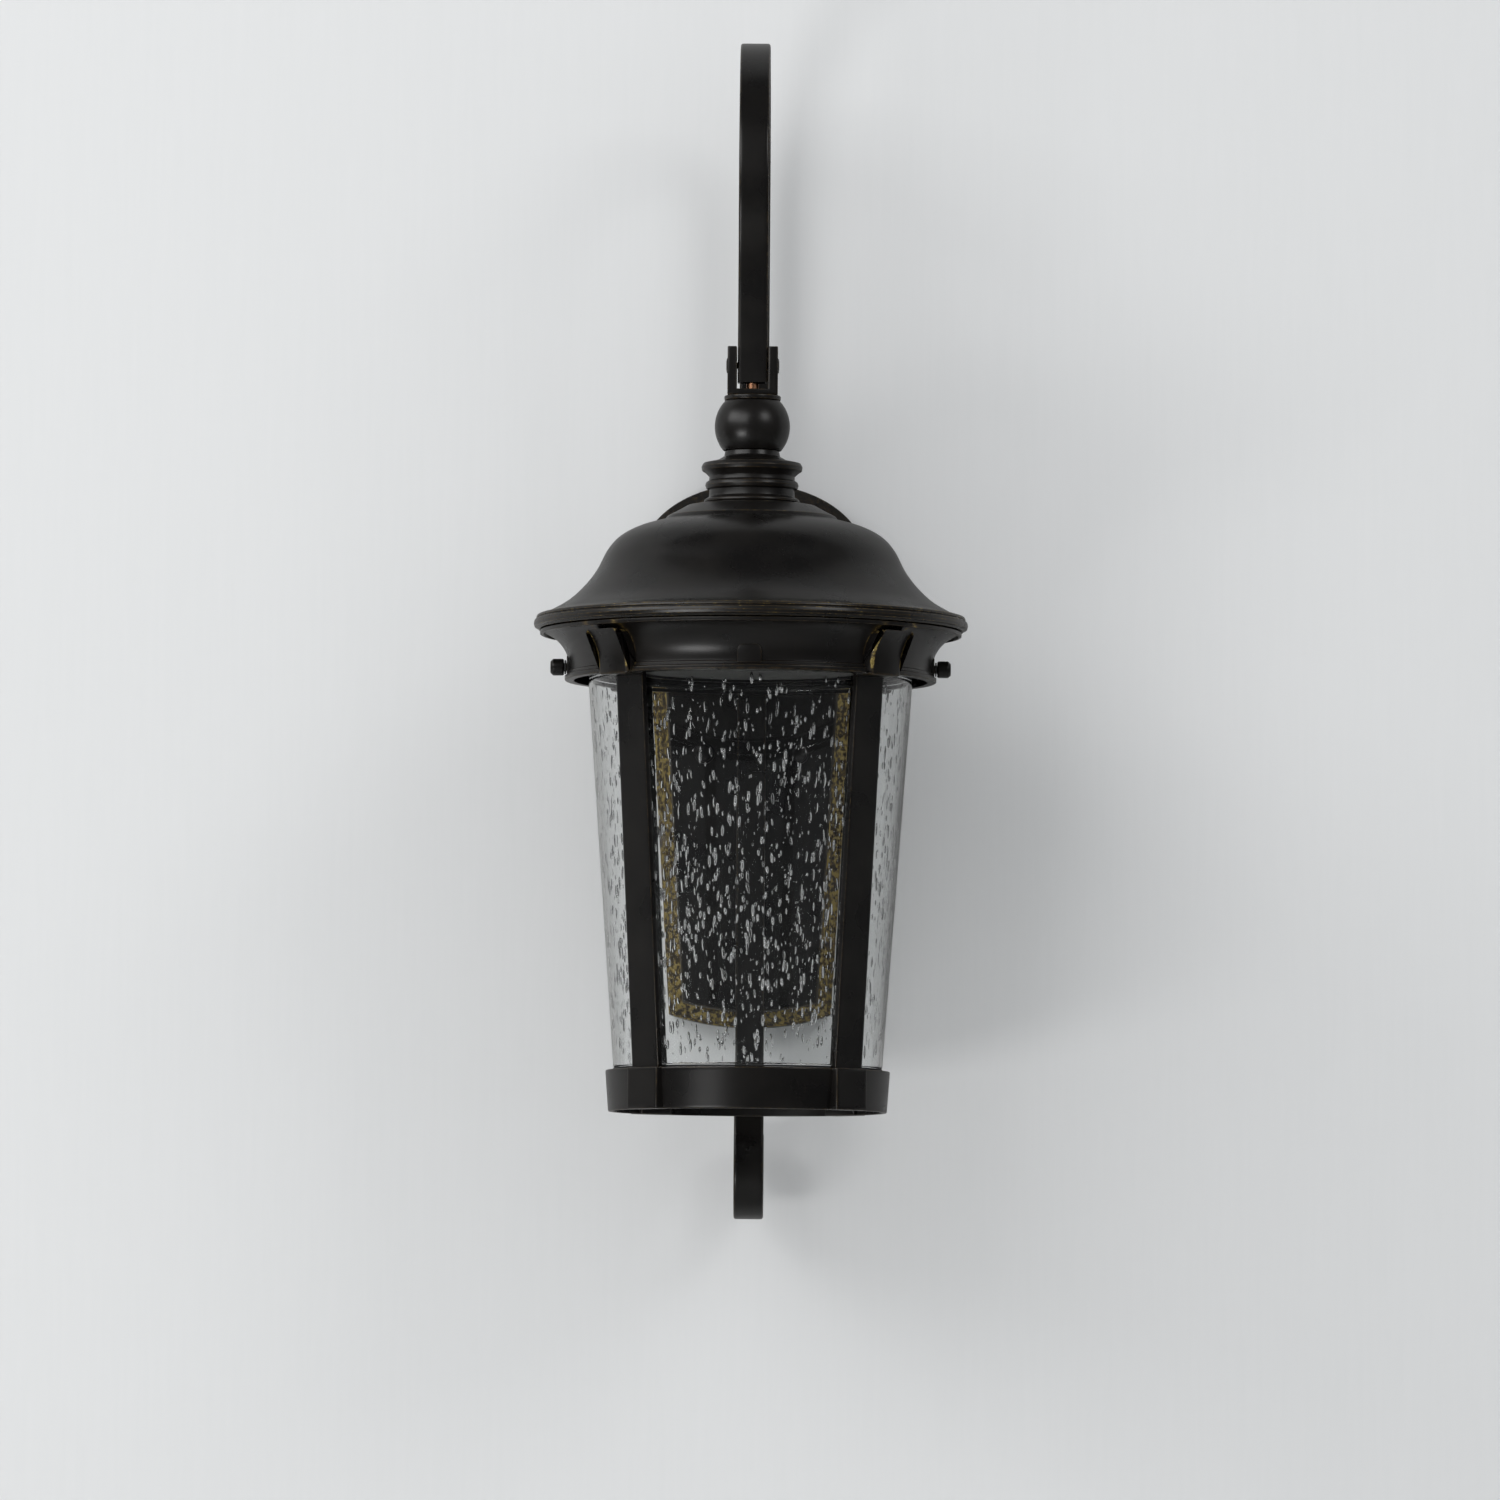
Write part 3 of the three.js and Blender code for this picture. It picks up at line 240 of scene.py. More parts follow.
def glass_finish():
    n = Nodes("seedy_glass")
    n.set(Transmission_Weight=1.0, IOR=1.47)
    waves = n.noise(16, stretch=(1, 1, 0.4), detail=2)
    n.to("Base Color", n.colour(waves, (0.97, 0.985, 0.98), (0.985, 0.99, 0.99)))
    n.to("Roughness", n.ramp(n.noise(5, detail=2), 0.35, 0.65, 0.0, 0.01))
    n.bump(waves, 0.08, 0.3)
    return n.material


def bubble_finish():
    """Air inside the glass: light crosses from the glass's index back to the air's."""
    n = Nodes("glass_bubble")
    n.set(Transmission_Weight=1.0, IOR=1 / 1.47)
    n.to("Base Color", n.colour(n.noise(12), (0.97, 0.97, 0.97), (1.0, 1.0, 1.0)))
    n.to("Roughness", n.ramp(n.noise(2), 0.3, 0.7, 0.0, 0.04))
    return n.material


def lens_finish():
    n = Nodes("frosted_lens")
    n.set(Roughness=0.6, IOR=1.49, Transmission_Weight=0.1, Specular_IOR_Level=0.08)
    # The dark grey base is painted shade for the lens's unlit underside, darker than its frosted plastic.
    n.to("Base Color", n.colour(n.noise(20), (0.14, 0.14, 0.135), (0.18, 0.18, 0.17)))
    n.bump(n.noise(0.5, detail=2), 0.03)
    return n.material


def screen_finish():
    """Pale painted wall. It is seen only from its front, so views from behind show the lantern."""
    n = Nodes("stage_wall")
    grain = n.noise(3, stretch=(1, 1, 0.05), detail=3)
    n.to("Base Color", n.colour(grain, (0.72, 0.725, 0.72), (0.74, 0.742, 0.738)))
    n.set(Roughness=0.9)
    mix = n.new("MixShader")
    n.link(n.new("NewGeometry").outputs["Backfacing"], mix.inputs["Fac"])
    n.link(n.shader.outputs["BSDF"], mix.inputs[1])
    n.link(n.new("BsdfTransparent").outputs["BSDF"], mix.inputs[2])
    n.link(mix.outputs["Shader"], n.output.inputs["Surface"])
    return n.material


BRONZE = bronze_finish("bronze")
BRONZE_SMALL = bronze_finish("bronze_fixing", rubbed=0.55)
ZINC = metal_finish("zinc_steel", (0.42, 0.44, 0.46), (0.62, 0.63, 0.63), 0.34)
ZINC_BRUSHED = metal_finish("zinc_brushed", (0.45, 0.46, 0.48), (0.6, 0.61, 0.62), 0.38, streaks=(0.04, 1, 1))
BRASS = metal_finish("brass", (0.6, 0.42, 0.16), (0.74, 0.56, 0.26), 0.28)
COPPER = metal_finish("copper", (0.62, 0.3, 0.16), (0.8, 0.42, 0.26), 0.3, streaks=(1, 1, 0.2))
ALUMINIUM = metal_finish("aluminium", (0.6, 0.61, 0.62), (0.74, 0.75, 0.76), 0.42, grain=0.5)
GREEN_ZINC = metal_finish("green_screw", (0.03, 0.2, 0.07), (0.05, 0.32, 0.12), 0.36)
WHITE_PAINT = plain_finish("white_paint", (0.76, 0.75, 0.72), (0.83, 0.82, 0.79), 0.5)
BOARD_WHITE = plain_finish("board_white", (0.78, 0.78, 0.75), (0.86, 0.85, 0.82), 0.4)
DRIVER_CASE = plain_finish("driver_case", (0.66, 0.66, 0.64), (0.74, 0.74, 0.71), 0.5, grain=0.6, depth=0.05)
BLACK_RUBBER = plain_finish("black_rubber", (0.012, 0.012, 0.012), (0.022, 0.022, 0.022), 0.7, depth=0.05)
BLACK_LEAD = plain_finish("black_lead", (0.011, 0.011, 0.012), (0.02, 0.02, 0.021), 0.36)
WHITE_LEAD = plain_finish("white_lead", (0.66, 0.66, 0.63), (0.75, 0.75, 0.73), 0.36)
GREEN_LEAD = plain_finish("green_lead", (0.02, 0.2, 0.06), (0.035, 0.28, 0.09), 0.36)
FOAM = foam_finish()
GLASS = glass_finish()
BUBBLE = bubble_finish()
LENS_FROST = lens_finish()

# ---- outlines


def quadratic(a, b, c, steps):
    """A curve from a to c that is drawn towards b."""
    shares = [k / steps for k in range(steps + 1)]
    return [a * (1 - t) ** 2 + b * 2 * t * (1 - t) + c * t * t for t in shares]


NEARLY_STRAIGHT = math.radians(82)  # half the angle above which a corner is left alone
LONGEST_CUT = 0.48  # share of a side that one corner's rounding may take


def filleted(corners, radius, steps=4, closed=True):
    """Rounds the corners of an outline. A corner's third value is its own radius, and 0 keeps it."""
    rounded = []
    count = len(corners)
    for i, corner in enumerate(corners):
        point = Vector(corner[:2])
        size = corner[2] if len(corner) > 2 else radius
        if size == 0 or (not closed and i in (0, count - 1)):
            rounded.append(point)
            continue
        back = Vector(corners[i - 1][:2]) - point
        ahead = Vector(corners[(i + 1) % count][:2]) - point
        half = back.angle(ahead) / 2
        if half > NEARLY_STRAIGHT:
            rounded.append(point)
            continue
        cut = min(size / math.tan(half), LONGEST_CUT * back.length, LONGEST_CUT * ahead.length)
        start = point + back.normalized() * cut
        end = point + ahead.normalized() * cut
        rounded.extend(quadratic(start, point, end, steps))
    return rounded


def rectangle(x, y):
    return [(x, -y), (x, y), (-x, y), (-x, -y)]


def supported(outline, reach=1.1, closed=True):
    """Adds a point close to each end of a long straight, which holds the rubbed edge narrow."""
    points = []
    count = len(outline)
    for i, point in enumerate(outline):
        points.append(point)
        if not closed and i == count - 1:
            break
        run = outline[(i + 1) % count] - point
        if run.length > 3 * reach:
            points.append(point + run.normalized() * reach)
            points.append(point + run - run.normalized() * reach)
    return points


def spline(waypoints, spacing):
    """A Catmull-Rom curve through 2-D or 3-D waypoints."""
    points = [Vector(w) for w in waypoints]
    ends = [points[0] * 2 - points[1], *points, points[-1] * 2 - points[-2]]
    curve = []
    for a, b, c, d in zip(ends, ends[1:], ends[2:], ends[3:]):
        steps = max(1, round((c - b).length / spacing))
        for k in range(steps):
            t = k / steps
            bend, swing = a * 2 - b * 5 + c * 4 - d, b * 3 - a - c * 3 + d
            curve.append(0.5 * (b * 2 + (c - a) * t + bend * t**2 + swing * t**3))
    return [*curve, points[-1]]


def arc(centre, radius, start, end, steps):
    """Points on a circle in a plane, from start to end in degrees."""
    turns = [math.radians(start + (end - start) * k / steps) for k in range(steps + 1)]
    return [Vector((centre[0] + radius * math.cos(a), centre[1] + radius * math.sin(a))) for a in turns]


# ---- shells: (points, faces) in millimetres


def merged(*shells):
    points, faces = [], []
    for shell_points, shell_faces in shells:
        start = len(points)
        points.extend(shell_points)
        faces.extend([[i + start for i in face] for face in shell_faces])
    return points, faces


def moved(shell, matrix):
    points, faces = shell
    return [matrix @ Vector(p) for p in points], faces


def shift(x, y, z):
    return Matrix.Translation((x, y, z))


def spin(degrees, axis="Z"):
    return Matrix.Rotation(math.radians(degrees), 4, axis)


def on_axis(shell):
    return moved(shell, shift(0, -AXIS, 0))


def polar(radius, angle, height):
    return Vector((radius * math.cos(angle), radius * math.sin(angle), height))


def round_turn(count):
    return [2 * math.pi * k / count for k in range(count)]


def turned(profile, sides=160):
    """A profile of (radius, height) turned about Z. It closes on itself or both ends are on the axis."""
    points, faces = [], []
    rows = []
    for radius, height in profile:
        if radius < 1e-6:
            rows.append([len(points)] * sides)
            points.append(Vector((0, 0, height)))
            continue
        rows.append(list(range(len(points), len(points) + sides)))
        points.extend(polar(radius, angle, height) for angle in round_turn(sides))
    capped = profile[0][0] < 1e-6
    for low, high in zip(rows, rows[1:] + ([] if capped else rows[:1])):
        for k in range(sides):
            j = (k + 1) % sides
            face = list(dict.fromkeys([low[k], low[j], high[j], high[k]]))
            if len(face) > 2:
                faces.append(face)
    return points, faces


def turned_part(profile, sides=128):
    return on_axis(turned(profile, sides))


def ring_profile(inner, outer, bottom, top, ease, reach=1.1):
    corners = [(outer, bottom), (outer, top), (inner, top), (inner, bottom)]
    return supported(filleted(corners, ease), reach=reach)


def flat_ring(node, inner, outer, ease):
    """A turned ring as high as its CAD node."""
    return turned_part(ring_profile(inner, outer, LOW[node].z, HIGH[node].z, ease))


def lofted(rings, capped=True):
    """A surface over rings of equal length, closed by its first and last ring."""
    points = [p for ring in rings for p in ring]
    count = len(rings[0])
    faces = []
    for r in range(len(rings) - 1 if capped else len(rings)):
        low, high = r * count, ((r + 1) % len(rings)) * count
        faces.extend([low + i, low + (i + 1) % count, high + (i + 1) % count, high + i] for i in range(count))
    if capped:
        faces.append(list(range(count)))
        faces.append(list(range((len(rings) - 1) * count, len(rings) * count)))
    return points, faces


def scaled_ring(section, amount):
    """A section drawn in by a distance, towards its middle."""
    middle = sum(section, Vector((0, 0))) / len(section)
    return [p + (middle - p).normalized() * min(amount, (middle - p).length) for p in section]


def across(path, i, section, slide=0.0):
    """A section of (in the bend plane, across) set square to a path in the plane x = 0, at its point i."""
    ahead = (path[min(i + 1, len(path) - 1)] - path[max(i - 1, 0)]).normalized()
    side = Vector((-ahead.y, ahead.x))
    base = path[i] + ahead * slide
    return [Vector((v, -(base + side * u).x, (base + side * u).y)) for u, v in section]


def swept(section, path, easing, steps=3):
    """A section carried along a path, with its far end rounded over."""
    last = len(path) - 1
    rings = [across(path, i, section) for i in range(last)]
    rings.append(across(path, last, section, -easing))
    for k in range(steps - 1, -1, -1):
        turn = math.pi / 2 * k / steps
        drawn = scaled_ring(section, easing * (1 - math.sin(turn)))
        rings.append(across(path, last, drawn, -easing * (1 - math.cos(turn))))
    return lofted(rings)


def hollow_swept(outer, inner, path):
    """A tube of two sections of equal length along a path, joined at both open ends."""
    rings = [across(path, i, outer) for i in range(len(path))]
    rings += [across(path, i, inner) for i in reversed(range(len(path)))]
    return lofted(rings, capped=False)


def tube(path, radius, sides=16):
    """A round lead along 3-D points, with closed ends."""
    up = Vector((0.31, 0.2, 0.93))
    rings = []
    for i, point in enumerate(path):
        ahead = (path[min(i + 1, len(path) - 1)] - path[max(i - 1, 0)]).normalized()
        side = ahead.cross(up).normalized() if i == 0 else (side - ahead * side.dot(ahead)).normalized()
        other = ahead.cross(side)
        rings.append(
            [point + side * radius * math.cos(a) + other * radius * math.sin(a) for a in round_turn(sides)]
        )
    inner = [[(p + 3 * c) / 4 for p in ring] for ring, c in ((rings[0], path[0]), (rings[-1], path[-1]))]
    return lofted([inner[0], *rings, inner[1]])


def drawn_in(outline, distance):
    """A closed anticlockwise outline moved inwards, square to its sides."""
    inner = []
    for i, point in enumerate(outline):
        back = (point - outline[i - 1]).normalized()
        ahead = (outline[(i + 1) % len(outline)] - point).normalized()
        normals = Vector((-back.y, back.x)), Vector((-ahead.y, ahead.x))
        mitre = normals[0] + normals[1]
        inner.append(point + mitre * distance / max(mitre.dot(normals[0]), 0.5))
    return inner


def pillowed(outline, depth, ease, steps=3):
    """A plan outline drawn up from z = 0 to depth, with both its rims rounded over by ease."""
    turns = [math.pi / 2 * k / steps for k in range(steps + 1)]
    levels = [(ease * (1 - math.sin(t)), ease * (1 - math.cos(t))) for t in turns]
    levels += [(inset, depth - height) for inset, height in reversed(levels)]
    return lofted([[Vector((*p, height)) for p in drawn_in(outline, inset)] for inset, height in levels])


def extruded(outline, depth):
    """A plan outline (x, y) from z = 0 up to depth."""
    return lofted([[Vector((p[0], p[1], z)) for p in outline] for z in (0, depth)])


def box(low, high):
    outline = [(low[0], low[1]), (high[0], low[1]), (high[0], high[1]), (low[0], high[1])]
    return moved(extruded(outline, high[2] - low[2]), shift(0, 0, low[2]))


def bevel_sharp(bm, width, segments, sharper_than, **limits):
    """Rounds the edges that are sharper than an angle in degrees."""
    limit = math.radians(sharper_than)
    sharp = [e for e in bm.edges if len(e.link_faces) == 2 and e.calc_face_angle() > limit]
    bmesh.ops.bevel(bm, geom=sharp, offset=width, segments=segments, profile=0.5, affect="EDGES", **limits)


def taken_from(bm):
    """The shell of a finished bmesh, which is freed."""
    bm.verts.index_update()
    shell = [v.co.copy() for v in bm.verts], [[v.index for v in f.verts] for f in bm.faces]
    bm.free()
    return shell


def eased(shell, width, segments=3, reach=1.1, sharper_than=30):
    """Rounds a shell's sharp edges, and frames its large flat faces so that rubbed edges stay narrow."""
    points, faces = shell
    mesh = bpy.data.meshes.new("work")
    mesh.from_pydata(points, [], faces)
    bm = bmesh.new()
    bm.from_mesh(mesh)
    bpy.data.meshes.remove(mesh)
    bmesh.ops.recalc_face_normals(bm, faces=bm.faces)
    bevel_sharp(bm, width, segments, sharper_than, clamp_overlap=True)
    if reach:
        wide = [f for f in bm.faces if min(e.calc_length() for e in f.edges) > 3 * reach]
        bmesh.ops.inset_individual(bm, faces=wide, thickness=reach, use_even_offset=True)
    return taken_from(bm)


# ---- pieces

GENTLE_BEND = 130  # curvature per metre at which paint starts to rub through
SHARP_BEND = 900


def write_rub_and_highlight(bm, wear, band=None):
    """Writes the attribute of rubbed edges: up to wear on sharp outward edges, and as band(point) says
    elsewhere, which on the gallery includes painted highlight.
    """
    layer = bm.verts.layers.float.new("rub_and_highlight")
    for vert in bm.verts:
        bend = 0.0
        for edge in vert.link_edges:
            if len(edge.link_faces) != 2:
                continue
            middle = (edge.verts[0].co + edge.verts[1].co) / 2
            span = sum((face.calc_center_median() - middle).length for face in edge.link_faces)
            bend = max(bend, edge.calc_face_angle_signed(0) / max(span, 1e-6))
        worn = wear * min((bend - GENTLE_BEND) / (SHARP_BEND - GENTLE_BEND), 1.0)
        if band:
            worn = max(worn, band(vert.co / MM))
        vert[layer] = min(max(worn, 0.0), 1.0)


def piece(name, shell, finish, node, extra=False, smooth=38, wear=0.3, band=None):
    """Makes a piece on a CAD node's body. It stands for that node unless it is extra."""
    body, slot, nodes = BODY[node], SLOT[node], () if extra else (node,)
    points, faces = shell
    mesh = bpy.data.meshes.new(name)
    mesh.from_pydata([Vector(p) * MM for p in points], [], faces)
    bm = bmesh.new()
    bm.from_mesh(mesh)
    bmesh.ops.recalc_face_normals(bm, faces=bm.faces)
    write_rub_and_highlight(bm, wear, band)
    bm.to_mesh(mesh)
    bm.free()
    mesh.polygons.foreach_set("use_smooth", [True] * len(mesh.polygons))
    mesh.set_sharp_from_angle(angle=math.radians(smooth))
    mesh.materials.append(finish)
    thing = bpy.data.objects.new(name, mesh)
    scene.collection.objects.link(thing)
    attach(thing, body)
    if nodes:
        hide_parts(*nodes)


# ---- backplate and what is fixed to it

PLATE_TOP, PLATE_HALF_WIDTH = HIGH["backplate"].z, HIGH["backplate"].x
PLATE_FOOT_HALF_WIDTH = 46
ARCH_RISE = 40.7
ARCH_SHOULDER = PLATE_TOP - ARCH_RISE - 8  # below here the plate's border is rubbed
RUB_FADE = 30  # height over which the rubbing comes in
FOOT_RISE = 7
PLATE_BACK, PLATE_FRONT = -HIGH["backplate"].y, -LOW["backplate"].y
PLATE_WALL, BEVEL_WIDTH = 2.5, 8
SIDE_FRONT, BEVEL_FRONT = 14, 21  # distances from the wall


def plate_outline(inset, arch_steps=64, side_steps=24, foot_steps=20):
    """The plate's outline in the front view (x, z), moved inwards."""
    foot_radius = (PLATE_FOOT_HALF_WIDTH**2 + FOOT_RISE**2) / (2 * FOOT_RISE)
    half = math.degrees(math.asin((PLATE_FOOT_HALF_WIDTH - inset) / (foot_radius - inset)))
    spring = PLATE_TOP - ARCH_RISE
    half_span, rise = PLATE_HALF_WIDTH - inset, ARCH_RISE - inset
    turns = [math.pi * k / arch_steps for k in range(arch_steps + 1)]
    outline = [Vector((half_span * math.cos(a), spring + rise * math.sin(a))) for a in turns]
    foot = arc((0, foot_radius - PLATE_TOP), foot_radius - inset, -90 - half, -90 + half, foot_steps)
    left = [outline[-1].lerp(foot[0], k / side_steps) for k in range(1, side_steps)]
    right = [foot[-1].lerp(outline[0], k / side_steps) for k in range(1, side_steps)]
    return [*outline, *left, *foot, *right]


def plate_rings(profile):
    """The plate's outline at each (inset, distance from the wall) of a profile."""
    return [[Vector((p.x, -depth, p.y)) for p in plate_outline(inset)] for inset, depth in profile]


def plate_shell():
    """Rings from the inside of the front panel, round the back edge and forward to the panel's face."""
    panel = BEVEL_WIDTH + 1
    corners = [
        (panel + PLATE_WALL, PLATE_FRONT - PLATE_WALL, 0), (PLATE_WALL, SIDE_FRONT - 1, 1.5),
        (PLATE_WALL, PLATE_BACK, 0.4), (0, PLATE_BACK, 0.5), (0, SIDE_FRONT, 0.9),
        (BEVEL_WIDTH, BEVEL_FRONT, 0.35), (panel, PLATE_FRONT, 0.8), (panel + 2.4, PLATE_FRONT, 0),
    ]
    return lofted(plate_rings(supported(filleted(corners, 0.5, closed=False), closed=False)))


def plate_band(point):
    """The sloping border is rubbed to a mottled brown gold, except round the arch. The hollow stays dark."""
    depth = -point.y
    if SIDE_FRONT - 0.5 < depth < BEVEL_FRONT + 0.3:
        return 0.2 + 0.4 * min(max((ARCH_SHOULDER - point.z) / RUB_FADE, 0), 1)
    return 0.0


piece("backplate_casting", plate_shell(), BRONZE, "backplate", band=plate_band)

# Closed-cell gasket behind the plate's edge, with softly rounded edges.
gasket_profile = filleted([(0.6, 0.1), (0.6, 2.0), (3.9, 2.0), (3.9, 0.1)], 0.5)
piece("wall_gasket_strip", lofted(plate_rings(gasket_profile), capped=False), FOAM, "wall_gasket")


def facing_room(shell, x, depth, z):
    """Turns a shell drawn along +Z so that it points out of the wall from a place on it."""
    return moved(shell, shift(x, -depth, z) @ spin(90, "X"))


def facing_wall(shell, x, depth, z):
    return moved(shell, shift(x, -depth, z) @ spin(-90, "X"))


def threaded_rod(radius, length, pitch, sides=20):
    """A rod along +Z with a thread's ridges and a small chamfer on both ends."""
    depth = 0.55 * pitch
    turns = int((length - 1.2) / pitch)
    profile = [(0, 0), (radius - depth, 0), (radius, 0.6)]
    for k in range(turns):
        low = 0.6 + k * pitch
        profile += [(radius - depth, low + 0.5 * pitch), (radius, low + pitch)]
    profile += [(radius, length - 0.6), (radius - depth, length), (0, length)]
    return turned(profile, sides)


def socket_disc(radius, height, sides=48):
    """Pan head along +Z with a rounded edge and a cross recess sunk in its top."""
    corners = [(0, 0, 0), (radius, 0, 0.2), (radius, height * 0.55, 0.5), (radius * 0.55, height, 0.6)]
    angles = round_turn(sides)
    rings = [[polar(r, a, z) for a in angles] for r, z in filleted(corners, 0.3, closed=False)[1:]]
    # The recess: reach of its arms and of the waist between them, and depth, as shares of the head.
    for reach, waist, sunk in ((0.52, 0.16, 0), (0.46, 0.12, 0.35), (0.18, 0.06, 0.7)):
        inner, outer = radius * waist, radius * reach
        spread = [inner + (outer - inner) * abs(math.cos(2 * a)) ** 6 for a in angles]
        rings.append([polar(r, a, height - sunk * height) for r, a in zip(spread, angles)])
    base = [Vector((p.x, p.y, 0)) for p in rings[0]]
    return lofted([base, *rings])


def screw(head, radius, length, pitch=0.7, sides=20):
    """A screw along +Z, with its head's underside at 0."""
    return merged(head, moved(threaded_rod(radius, length, pitch, sides), shift(0, 0, -length)))


for bar in ("arm", "tail"):
    for number in (1, 2):
        node = f"{bar}_screw_{number}"
        head_seat = PLATE_FRONT - PLATE_WALL - GAP
        shell = facing_wall(screw(socket_disc(3.8, 2.4), 2, 9), 0, head_seat, mid_height(node))
        piece(f"{node}_body", shell, ZINC, node)

# Crossbar: pressed steel with rounded ends and slots.
STUD_RADIUS = 2
STUD_X = HIGH["mounting_stud_right"].x - STUD_RADIUS


def hole_ring(centre_x, centre_z, radius, stretch=0.0, steps=12):
    right = arc((centre_x + stretch, centre_z), radius, -90, 90, steps)
    left = arc((centre_x - stretch, centre_z), radius, 90, 270, steps)
    return [*right, *left] if stretch else [*right, *left[1:-1]]


def plate_with_holes(outline, holes, thickness):
    """A flat plate on the wall, from an outline and its holes, with eased edges."""
    bm = bmesh.new()
    for ring in (outline, *holes):
        verts = [bm.verts.new((p.x, 0, p.y)) for p in ring]
        for a, b in zip(verts, verts[1:] + verts[:1]):
            bm.edges.new((a, b))
    bmesh.ops.triangle_fill(bm, use_beauty=True, edges=bm.edges[:])
    made = bmesh.ops.extrude_face_region(bm, geom=bm.faces[:])
    raised = [v for v in made["geom"] if isinstance(v, bmesh.types.BMVert)]
    bmesh.ops.translate(bm, verts=raised, vec=(0, -thickness, 0))
    bmesh.ops.recalc_face_normals(bm, faces=bm.faces)
    bmesh.ops.dissolve_limit(bm, angle_limit=0.01, verts=bm.verts, edges=bm.edges)
    bevel_sharp(bm, 0.3, 2, 50)
    bmesh.ops.triangulate(bm, faces=bm.faces)
    return taken_from(bm)


def crossbar_shell():
    corners = rectangle(HIGH["crossbar"].x, HIGH["crossbar"].z)
    slot_middle, slot_half_run, slot_half_height = 36.75, 3.25, 2.5
    holes = [hole_ring(side * slot_middle, 0, slot_half_height, slot_half_run) for side in (-1, 1)]
    holes += [hole_ring(x, 0, STUD_RADIUS + 0.3) for x in (-STUD_X, STUD_X)]
    holes += [hole_ring(12, 5, 1.8), hole_ring(-12, 5, 1.8), hole_ring(0, -5, 3.2)]
    return plate_with_holes(filleted(corners, 4, steps=6), holes, -LOW["crossbar"].y)


piece("crossbar_plate", crossbar_shell(), ZINC_BRUSHED, "crossbar", smooth=30)


def hex_head(radius, height, flats=6):
    """A hexagon along +Z with its top corners turned off."""

    def ring(reach, z, roundness):
        half = math.pi / flats
        inner = reach * math.cos(half)
        outer = [(a, inner / math.cos(a % (2 * half) - half)) for a in round_turn(flats * 8)]
        return [polar(r * (1 - roundness) + min(r, inner) * roundness, a, z) for a, r in outer]

    levels = ((1, 0, 0.8), (1, 0.25, 0), (1, height - 0.5, 0), (0.97, height - 0.15, 0.9), (0.88, height, 1))
    return lofted([ring(radius * share, z, roundness) for share, z, roundness in levels])


ground_x = (LOW["ground_screw"].x + HIGH["ground_screw"].x) / 2
ground_shell = screw(hex_head(3.2, 1.9), 1.45, 2.2, 0.5, 16)
ground_shell = facing_room(ground_shell, ground_x, 2.3, mid_height("ground_screw"))
piece("ground_screw_body", ground_shell, GREEN_ZINC, "ground_screw")

CAP_NUT = [
    (5.2, 0), (5.5, 0.5), (5.5, 3.2), (5.0, 3.7), (4.75, 4.2), (4.6, 5.4), (3.9, 7.1), (2.6, 8.4),
    (1.2, 8.9), (0, 9),
]
for side, x in (("left", -STUD_X), ("right", STUD_X)):
    stud = f"mounting_stud_{side}"
    rod = threaded_rod(STUD_RADIUS, HIGH[stud].y - LOW[stud].y, 0.7)
    piece(f"{stud}_rod", facing_room(rod, x, -HIGH[stud].y, 0), ZINC, stud)
    nut = turned([(0, 7.2), (2.25, 7), (2.25, 0.3), (2.5, 0), *filleted(CAP_NUT, 0.3, closed=False)], 64)
    shell = facing_room(nut, x, PLATE_FRONT + GAP, 0)
    piece(f"cap_nut_{side}_body", shell, BRONZE_SMALL, f"cap_nut_{side}")

# ---- arm and tail

BAR_DEPTH = 10
BAR_WIDTH = 2 * HIGH["arm_tube"].x
BAR_WALL = 1.4
LEG = PLATE_FRONT + GAP + BAR_DEPTH / 2  # middle of the bar on the plate, from the wall
BOW_RADIUS, BACK_TURN = 71, 21
BOW_CENTRE = HIGH["arm_tube"].z - BAR_DEPTH / 2 - BOW_RADIUS
ARM_TIP = 187
ARM_FOOT = LOW["arm_tube"].z
TAIL_BEND_START, TAIL_FRONT, CURL_RADIUS = -150, 60, 20
CURL_CENTRE, TAIL_TIP = -225.3, -204


def straight(start, end, spacing=6):
    start, end = Vector(start), Vector(end)
    steps = max(1, round((end - start).length / spacing))
    return [start.lerp(end, k / steps) for k in range(steps + 1)]


def chained(*runs):
    """One path of (distance from the wall, height) from runs that share their ends."""
    path = list(runs[0])
    for run in runs[1:]:
        path.extend(run[1:])
    return path


def crook_path(start, end):
    centre = LEG + BOW_RADIUS
    turn = math.radians(BACK_TURN)
    return_radius = (centre + BOW_RADIUS * math.cos(turn) - AXIS) / (1 - math.cos(turn))
    reach = BOW_RADIUS + return_radius
    return_centre = (centre + reach * math.cos(turn), BOW_CENTRE - reach * math.sin(turn))
    return chained(
        straight((LEG, start), (LEG, BOW_CENTRE)),
        arc((centre, BOW_CENTRE), BOW_RADIUS, 180, -BACK_TURN, 90),
        arc(return_centre, return_radius, 180 - BACK_TURN, 180, 24),
        straight((AXIS, return_centre[1]), (AXIS, end)),
    )


def tail_path(start):
    half_reach = (TAIL_FRONT - LEG) / 2
    half_drop = (TAIL_BEND_START - CURL_CENTRE) / 2
    radius = (half_reach**2 + half_drop**2) / (2 * half_reach)
    bend = math.degrees(math.asin(half_drop / radius))
    curl = TAIL_FRONT - CURL_RADIUS
    return chained(
        straight((LEG, start), (LEG, TAIL_BEND_START)),
        arc((LEG + radius, TAIL_BEND_START), radius, 180, 180 + bend, 20),
        arc((TAIL_FRONT - radius, CURL_CENTRE), radius, bend, 0, 20),
        arc((curl, CURL_CENTRE), CURL_RADIUS, 0, -180, 60),
        straight((curl - CURL_RADIUS, CURL_CENTRE), (curl - CURL_RADIUS, TAIL_TIP)),
    )


def bar_section(half_depth, half_width, radius):
    return supported(filleted(rectangle(half_depth, half_width), radius))


